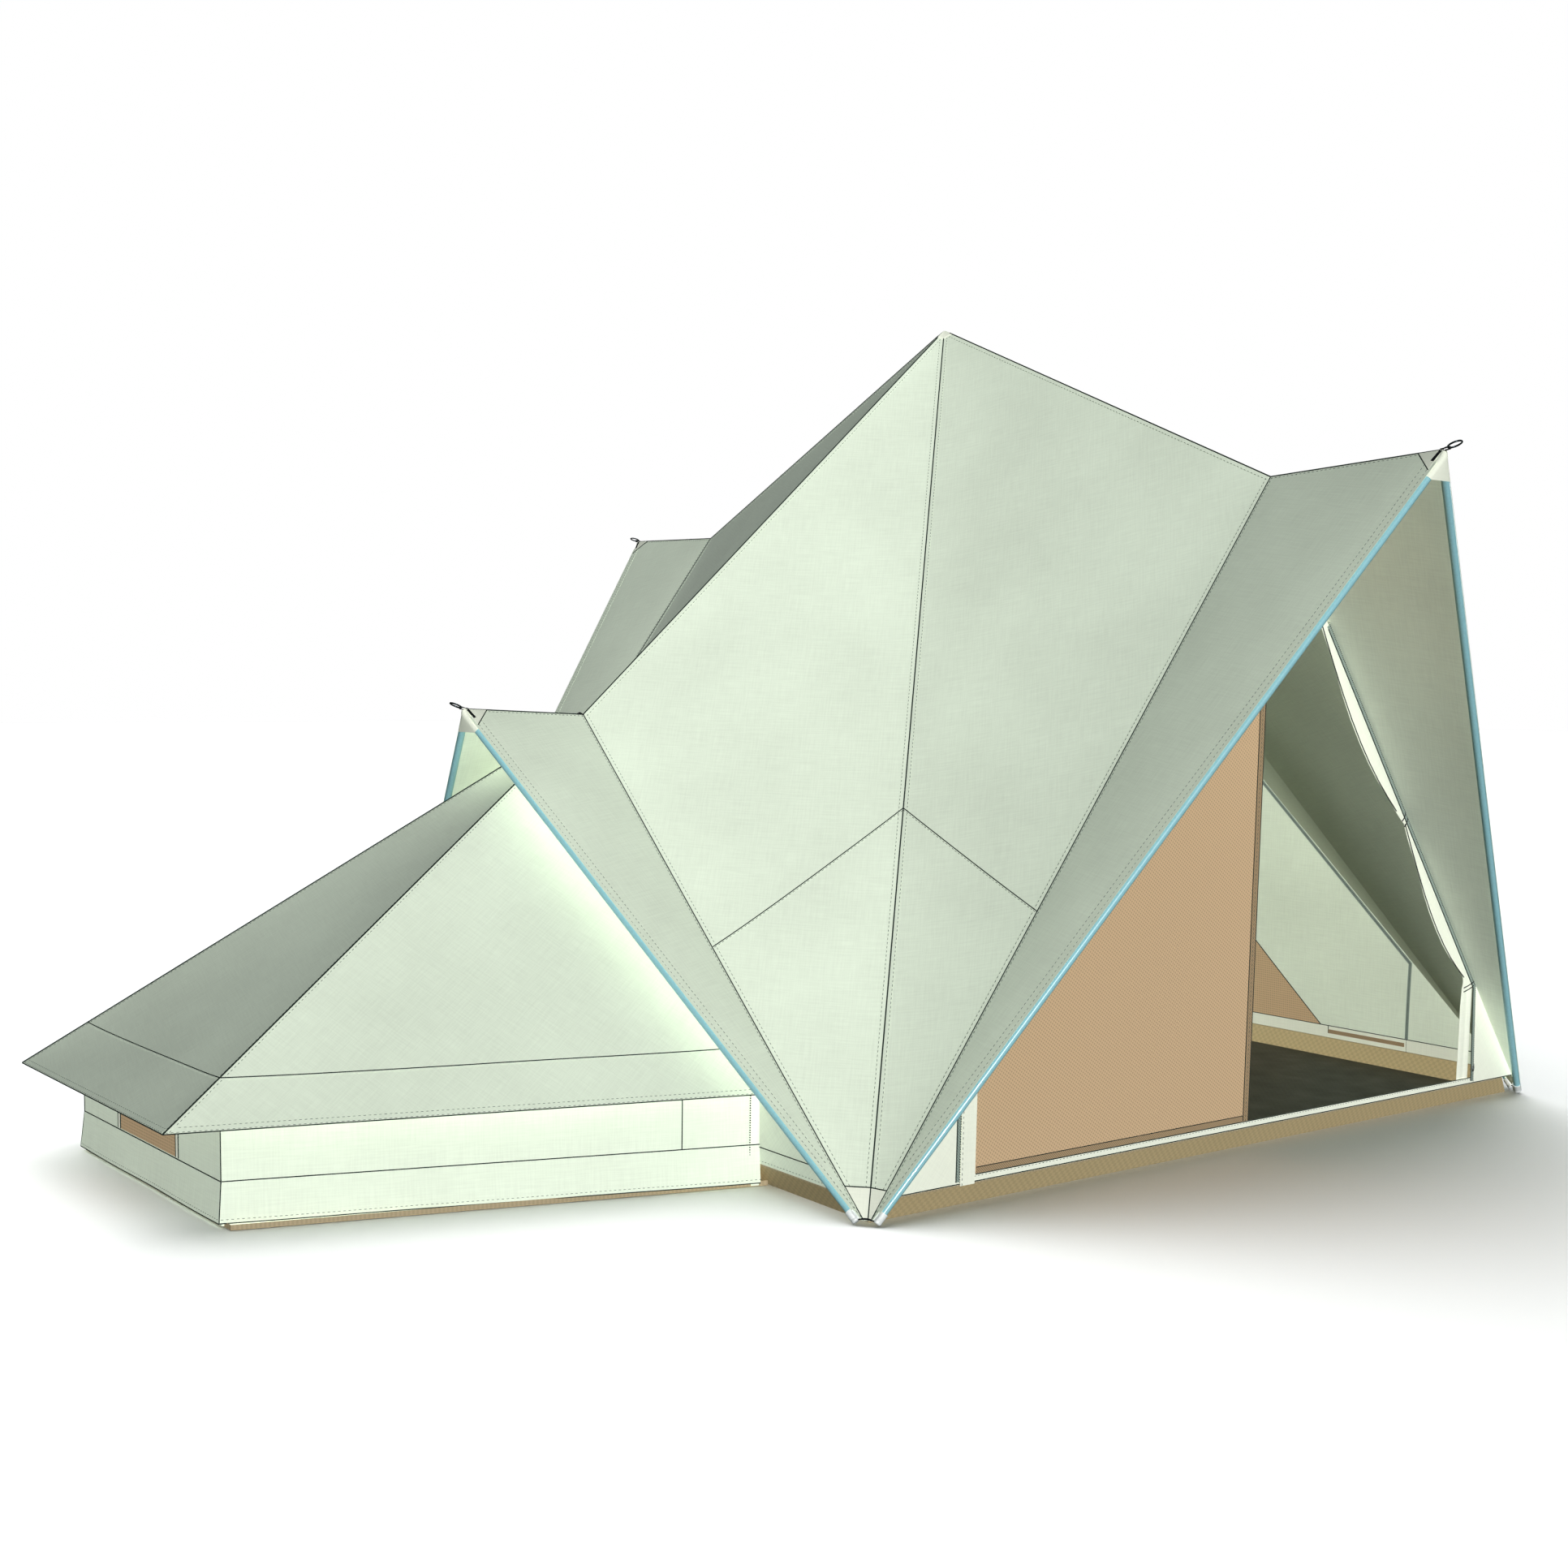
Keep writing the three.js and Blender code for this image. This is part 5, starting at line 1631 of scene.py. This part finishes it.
@dataclass
class Annexe:
    """The sleeping annexe: hipped roof, low walls with a skirt, a net window and its groundsheet."""

    plan: Plan
    beads: BeadRow
    cords: CordAlong
    eave_out: float = 1642.0
    eave_end: float = 540.0
    eave_root: float = 1009.0
    eave_z: float = 283.0
    wall_out: float = 1470.0
    wall_end: float = 490.0
    wall_root: float = 950.0
    floor_out: float = 1461.0
    floor_end: float = 532.0
    floor_root: float = 957.0
    floor_x: float = 1508.0
    skew: float = 32.0
    shift: float = -20.0
    drop: float = 6.0
    wall_top: float = 318.0
    hem: float = 3.3
    mid_z: float = 124.0
    flare: float = 12.0
    mitre: float = 0.74
    skirt_z: float = 14.0
    seam_z: float = 399.0
    window: tuple[float, float, float] = (400.0, 128.0, 352.0)
    sag: float = 12.0

    def build(self) -> None:
        """Make the roof, the walls and the floor."""
        self.side = self.plan.side("left")
        self.line = self.side.knee.dot(self.side.out)
        self.trim = Trim("annexe", Slot.ROOF, self.beads, self.cords)
        self.roof()
        self.walls()
        self.floor()
        self.trim.finish()

    def end(self, out: float, half: float, across: int, z: float) -> Vector:
        """A plan corner at the far end, which is pitched a little askew."""
        return Vector((-(self.line + out) - across * self.skew, across * half + self.shift, z))

    def root(self, half: float, across: int, z: float) -> Vector:
        """A plan corner at the tent's wall."""
        return self.side.on_wall(across * half, z) + self.side.out * 0.3

    def roof(self) -> None:
        """Three roof panels with their hips, eave hems and cross seams."""
        summit = self.side.on_wall(0, self.side.knee.z - self.drop) + self.side.out * 0.3
        ends = {way: self.end(self.eave_out, self.eave_end, way, self.eave_z) for way in (-1, 1)}
        roots = {way: self.root(self.eave_root, way, self.eave_z) for way in (-1, 1)}
        hems = Shape()
        plans = (("front", roots[-1], ends[-1]), ("end", ends[-1], ends[1]), ("back", ends[1], roots[1]))
        for i, (label, a, b) in enumerate(plans):
            outline = [summit, a, b]
            cut = Panel(outline, UP, key=outline, sag=self.sag, seed=50.0 + i)
            node = f"annexe_roof_{label}"
            piece = cut.cloth().piece(f"canvas_{node}", CANVAS, Slot.ROOF, stands_for=[node])
            cut.declare(piece, Hold.STRETCHED, ["left_wall_front"])
            inset = cut.shrunk(11.0)
            hems.join(cut.strip([inset[1], inset[2]], 20, 0.8))
            for distance in (4.0, 18.0):
                rows = cut.shrunk(distance)
                self.trim.rows.append(cut.run([rows[1], rows[2]], 1.0))
            rows = cut.shrunk(8.0)
            self.trim.rows.append(cut.run([rows[0], rows[1]], 0.3))
            self.trim.rows.append(cut.run([rows[0], rows[2]], 0.3))
            seam = [at_height(a, summit, self.seam_z), at_height(b, summit, self.seam_z)]
            hems.join(cut.strip([seam[0].lerp(seam[1], 0.01), seam[1].lerp(seam[0], 0.01)], 12, 0.6))
            self.trim.lines.append(cut.run(seam, 0.6))
            self.trim.lines.append(cut.run([a, b], 0.4))
        for end in (*ends.values(), *roots.values()):
            self.trim.piping.append([summit + UP * 1.2, end + UP * 1.2])
        hems.piece("annexe_roof_hems", CANVAS, Slot.ROOF)
        hook = [summit + UP * z + self.side.out * x for x, z in ((-2, 4), (6, 9), (14, 12), (20, 9), (21, 3),
                                                                (16, 0), (11, 3))]
        sweep(hook, round_section(3.0, 10), Vector((0, 1, 0))).piece("annexe_summit_hook", BLACK_NYLON,
                                                                    Slot.BLACK, crease=60)

    def walls(self) -> None:
        """Three low walls, each an upper cut and a skirt that flares to the ground, and the window."""
        hems = Shape()
        skirts = Shape()
        for label, way in (("front", -1), ("back", 1)):
            a, b = self.root(self.wall_root, way, 0), self.end(self.wall_out, self.wall_end, way, 0)
            out = Vector((0, way, 0))
            cut = self.wall_cut(f"annexe_wall_{label}", a, b, out)
            self.skirt(cut, skirts, a, b)
            third = a.lerp(b, 0.155)
            self.trim.lines.append(cut.run([third + UP * self.mid_z, third + UP * self.wall_top], 0.5))
            near = a.lerp(b, 0.02)
            white = a.lerp(b, 0.012)
            hems.join(cut.strip([white + UP * 70, white + UP * self.wall_top], 18, 0.8, 0.9))
            coil = cut.run([near + UP * 74, near + UP * self.wall_top], 2.6)
            inputs = {"Pitch": 7 * MM, "Grain Size": (4.6 * MM, 4.6 * MM, 4.4 * MM),
                      "Material": ZIP_COIL.material()}
            settle(grow(f"annexe_zip_coil_{label}", [coil], self.beads.tree, inputs), ZIP_COIL,
                   Body.TENT)
            away = Vector((-1, way, 0)).normalized()
            foot = self.end(self.wall_out, self.wall_end, way, self.skirt_z) + away * (self.flare * 1.25 + 1)
            corner = [self.end(self.wall_out, self.wall_end, way, z) + away for z in (self.mid_z, self.wall_top)]
            self.trim.lines.append([foot, *corner])
        hems.piece("annexe_zip_bands", CANVAS_PATCH, Slot.WALL)
        a, b = (self.end(self.wall_out, self.wall_end, way, 0) for way in (-1, 1))
        cut = self.wall_cut("annexe_wall_end", a, b, Vector((-1, 0, 0)))
        self.skirt(cut, skirts, a, b)
        skirts.piece("annexe_skirts", CANVAS, Slot.WALL)
        share = self.window[0] / (b - a).length / 2
        left, right = a.lerp(b, 0.5 - share), a.lerp(b, 0.5 + share)
        low, high = self.window[1], self.wall_top
        corners = [left + UP * low, right + UP * low, right + UP * high, left + UP * high]
        net = cut.patch(corners, 0.7, 0.3)
        piece = net.piece("annexe_window_net", NET, Slot.NET, stands_for=["annexe_window_mesh"])
        Panel(corners, self.side.out).declare(piece, Hold.STRETCHED, ["canvas_annexe_wall_end"])
        binding = Shape()
        for spot, way in ((left, -1), (right, 1)):
            wide = (b - a).normalized() * (way * 18)
            middle = spot + wide / 2
            binding.join(cut.strip([middle + UP * low, middle + UP * high], 18, 1.0, 0.9))
            for edge in (spot, spot + wide):
                self.trim.lines.append(cut.run([edge + UP * low, edge + UP * high], 1.9))
        binding.piece("annexe_window_binding", CANVAS_PATCH, Slot.WALL)

    def wall_cut(self, node: str, a: Vector, b: Vector, out: Vector) -> Panel:
        """One low wall from the hem to under the roof."""
        outline = [a + UP * self.hem, b + UP * self.hem, b + UP * self.wall_top, a + UP * self.wall_top]
        cut = Panel(outline, out)
        piece = cut.cloth().piece(f"canvas_{node}", CANVAS, Slot.WALL, stands_for=[node])
        cut.declare(piece, Hold.HUNG, [f"canvas_{node.replace('wall', 'roof')}"])
        return cut

    def skirt(self, cut: Panel, skirts: Shape, a: Vector, b: Vector) -> None:
        """The skirt: a second layer under the mid seam that leans out to the ground."""
        past = (b - a).normalized() * (self.flare * self.mitre)
        low_a = a - past if a.x < -2000 else a
        low = [low_a + UP * self.skirt_z, b + past + UP * self.skirt_z]
        flat = [cut.to_flat(p) for p in (*low, b + UP * self.mid_z, a + UP * self.mid_z)]
        seam = cut.to_flat(a + UP * self.mid_z).y
        ground = cut.to_flat(a + UP * self.skirt_z).y

        def lean(spot: Vector) -> float:
            """The skirt's distance from the wall, with a slight ripple."""
            share = max(0.0, (seam - spot.y) / (seam - ground))
            ripple = 1.6 * math.sin(spot.x / 95) * share
            return self.flare * share ** 1.3 + ripple

        layer = Panel(cut.outline, cut.hint, relief=lean)
        skirts.join(layer.slab(flat, 0.3, 1.6, 30.0))
        self.trim.lines.append(cut.run([a + UP * self.mid_z, b + UP * self.mid_z], 1.6))
        self.trim.rows.append(layer.run([a + UP * 24, b + UP * 24], 2.4))
        self.trim.lines.append(layer.run(low, 1.4))

    def floor(self) -> None:
        """The annexe's groundsheet with its bound rim."""
        corners = [Vector((-self.floor_x, -self.floor_root, 0)), self.end(self.floor_out, self.floor_end, -1, 0),
                   self.end(self.floor_out, self.floor_end, 1, 0), Vector((-self.floor_x, self.floor_root, 0))]

        def puckers(flat: Vector) -> float:
            """Low, slow waves of a sheet on the ground."""
            return 0.5 + 0.5 * noise.noise(Vector((flat.x / 260, flat.y / 260, 7.0)))

        cut = Panel(corners, UP, top=1.9, thick=1.2, relief=puckers)
        piece = cut.cloth().piece("annexe_ground_cloth", GROUND, Slot.GROUND, stands_for=["annexe_groundsheet"])
        cut.declare(piece, Hold.LAID)
        middle = sum(corners, Vector()) / 4
        path = []
        for start, end in zip(corners, corners[1:]):
            path += [start.lerp(end, i / 16).lerp(middle, 0.0012) + UP * 8.6 for i in range(16)]
        path.append(corners[-1].lerp(middle, 0.0012) + UP * 8.6)
        section = [(-7.0, -0.8), (7.0, -0.8), (7.0, 0.8), (-7.0, 0.8)]
        rim = sweep([p.copy() for p in path], section, UP)
        rim.piece("annexe_ground_rim", GROUND_RIM, Slot.GROUND)


@dataclass
class GroundTray:
    """The main groundsheet: a floor with an upstand folded across each corner."""

    plan: Plan
    half_x: float = 1500.0
    half_y: float = 1390.0
    height: float = 67.0
    fold: float = 110.0
    inset: float = 1.0
    thick: float = 1.4

    def build(self) -> None:
        """Make the tray and its bound rim."""
        rim_x, rim_y = self.plan.corner_x - self.inset, self.plan.corner_y - self.inset
        shape = Shape()
        base = [Vector((sx * self.half_x, sy * self.half_y, 0.2))
                for sx, sy in ((-1, -1), (1, -1), (1, 1), (-1, 1))]
        floor = Panel(base, UP, top=self.thick, thick=self.thick, spacing=60.0, relief=self.puckers)
        # The floor is painted dark as shade for the tent's inside.
        piece = floor.cloth().piece("groundsheet_floor", FLOOR_PAINTED_SHADE, Slot.GROUND)
        floor.declare(piece, Hold.LAID)
        faces: list[tuple[Path, Vector]] = []
        rim: Path = []
        signs = ((-1, -1), (1, -1), (1, 1), (-1, 1))
        for sx, sy in signs:
            pair = [Vector((sx * rim_x, sy * (rim_y - self.fold), self.height)),
                    Vector((sx * (rim_x - self.fold), sy * rim_y, self.height))]
            rim += pair if sx == sy else pair[::-1]
        for i in range(4):
            j = (i + 1) % 4
            faces.append(([base[i], base[j], rim[2 * j], rim[2 * i + 1]], base[i] + base[j]))
            faces.append(([base[i], rim[2 * i + 1], rim[2 * i]], base[i]))
        total = 0.0
        for corners, away in faces:
            cut = Panel(corners, Vector((away.x, away.y, 0)), spacing=70.0)
            shape.join(cut.slab(cut.flat, -self.thick, 0.0))
            total += abs(flat_area(cut.flat)) * MM * MM
        piece = shape.piece("groundsheet_tray", GROUND, Slot.GROUND, stands_for=["groundsheet"])
        bead = [p + (Vector((-p.x, -p.y, 0)).normalized() * 1.6) + UP * -2.0 for p in rim]
        strips = Shape()
        for a, b in zip(bead, [*bead[1:], bead[0]]):
            away = Vector(((b - a).y, -(b - a).x, 0)).normalized()
            strips.join(sweep([a.lerp(b, i / 12) for i in range(13)], [(-0.9, -4), (0.9, -4), (1.2, 0),
                                                                     (0.9, 3), (-0.9, 3)], away))
        strips.piece("groundsheet_rim_tape", GROUND_RIM, Slot.GROUND, crease=50)

    def puckers(self, flat: Vector) -> float:
        """Slow low waves of the floor."""
        return 0.6 + 0.6 * noise.noise(Vector((flat.x / 330, flat.y / 330, 3.0)))


@dataclass(frozen=True)
class Studio:
    """A pale floor, soft lights and the camera."""

    location: tuple[float, float, float] = (-4.662, -4.986, 1.429)
    heading: float = 33.353
    pitch: float = 5.126
    roll: float = 0.364
    lens: float = 41.446
    shift: tuple[float, float] = (0.10145, 0.04156)

    def build(self) -> None:
        """Make the stage."""
        bpy.context.scene.view_settings.view_transform = "Standard"
        # A little more contrast in the middle tones, so that the folds between panels read clearly.
        bpy.context.scene.view_settings.gamma = 0.81
        self.floor()
        self.world()
        self.keys()
        self.camera()

    def floor(self) -> None:
        """The pale floor, with a light of its own for a soft shadow."""
        mesh = bpy.data.meshes.new("studio_floor")
        reach = 60.0
        mesh.from_pydata([(-reach, -reach, 0), (reach, -reach, 0), (reach, reach, 0), (-reach, reach, 0)], [],
                         [(0, 1, 2, 3)])
        floor = bpy.data.objects.new("studio_floor", mesh)
        bpy.context.scene.collection.objects.link(floor)
        paint = bpy.data.materials.new("studio_matt_white")
        paint.use_nodes = True
        shader = paint.node_tree.nodes["Principled BSDF"]
        shader.inputs["Base Color"].default_value = linear("f6f6f6")
        shader.inputs["Roughness"].default_value = 1.0
        shader.inputs["Specular IOR Level"].default_value = 0.0
        mesh.materials.append(paint)
        floor.visible_diffuse = False
        floor.visible_glossy = False
        floor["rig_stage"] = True
        stage = bpy.data.collections.new("studio_stage")
        stage.objects.link(floor)
        light = self.sun("overhead", (-0.15, 0.38, 0.91), 3.5, 80, True)
        light.light_linking.receiver_collection = stage

    def keys(self) -> None:
        """One key direction in two lights: only the roof shades itself, so that its inside stays dark."""
        roof = bpy.data.collections.new("studio_roof_cloth")
        rest = bpy.data.collections.new("studio_other_pieces")
        for piece in [o for o in bpy.context.scene.objects if o.type == "MESH" and "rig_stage" not in o]:
            group = roof if piece.name.startswith(("canvas_roof", "roof_")) else rest
            group.objects.link(piece)
        source = (-0.49, -0.85, 0.17)
        self.sun("key_even", source, 3.45, 6, False).light_linking.receiver_collection = rest
        shaded = self.sun("key_roof", source, 3.55, 4, True)
        shaded.light_linking.receiver_collection = roof
        shaded.light_linking.blocker_collection = roof
        self.sun("fill_back", (0.55, 0.8, 0.15), 0.8, 30, False)
        self.sun("fill_right", (0.95, 0.15, 0.25), 1.0, 30, False)

    def world(self) -> None:
        """A white surround that gives the tent only a soft even light."""
        world = bpy.data.worlds.new("studio_surround")
        bpy.context.scene.world = world
        world.use_nodes = True
        tree = world.node_tree
        tree.nodes.clear()
        seen = add_node(tree, "ShaderNodeBackground", {"Color": (1, 1, 1, 1), "Strength": 1.0})
        soft = add_node(tree, "ShaderNodeBackground", {"Color": linear("ccfff4"), "Strength": 0.058})
        ray = add_node(tree, "ShaderNodeLightPath")
        mixed = add_node(tree, "ShaderNodeMixShader", {}, {0: ray.outputs["Is Camera Ray"],
                                                           1: soft.outputs[0], 2: seen.outputs[0]})
        add_node(tree, "ShaderNodeOutputWorld", {}, {"Surface": mixed.outputs[0]})

    def sun(self, name: str, source: tuple[float, float, float], strength: float, spread: float,
            shadow: bool) -> bpy.types.Object:
        """A distant light that comes from a direction."""
        data = bpy.data.lights.new(name, "SUN")
        data.energy = strength
        data.angle = math.radians(spread)
        data.use_shadow = shadow
        light = bpy.data.objects.new(name, data)
        light.rotation_mode = "QUATERNION"
        light.rotation_quaternion = (-Vector(source)).to_track_quat("-Z", "Y")
        bpy.context.scene.collection.objects.link(light)
        return light

    def camera(self) -> None:
        """The camera at the pictured angle."""
        data = bpy.data.cameras.new("studio_camera")
        data.lens = self.lens
        data.sensor_width = 36.0
        data.shift_x, data.shift_y = self.shift
        data.clip_end = 200.0
        camera = bpy.data.objects.new("studio_camera", data)
        turn = Matrix.Rotation(math.radians(-self.heading), 4, "Z")
        tilt = Matrix.Rotation(math.radians(90 - self.pitch), 4, "X")
        roll = Matrix.Rotation(math.radians(self.roll), 4, "Z")
        camera.matrix_world = Matrix.Translation(self.location) @ turn @ tilt @ roll
        bpy.context.scene.collection.objects.link(camera)
        bpy.context.scene.camera = camera


def main() -> None:
    """Build the tent and its stage."""
    logging.basicConfig(level=logging.INFO, format="%(name)s: %(message)s")
    plan = Plan()
    beads = BeadRow()
    cords = CordAlong()
    frames = Frames(plan)
    Roof(plan, beads, cords).build()
    Porches(plan, beads, cords, frames).build()
    frames.build()
    CentrePole().build()
    Door(plan, beads, cords).build()
    Walls(plan, beads, cords).build()
    Annexe(plan, beads, cords).build()
    GroundTray(plan).build()
    Studio().build()


if __name__ == "__main__":
    main()
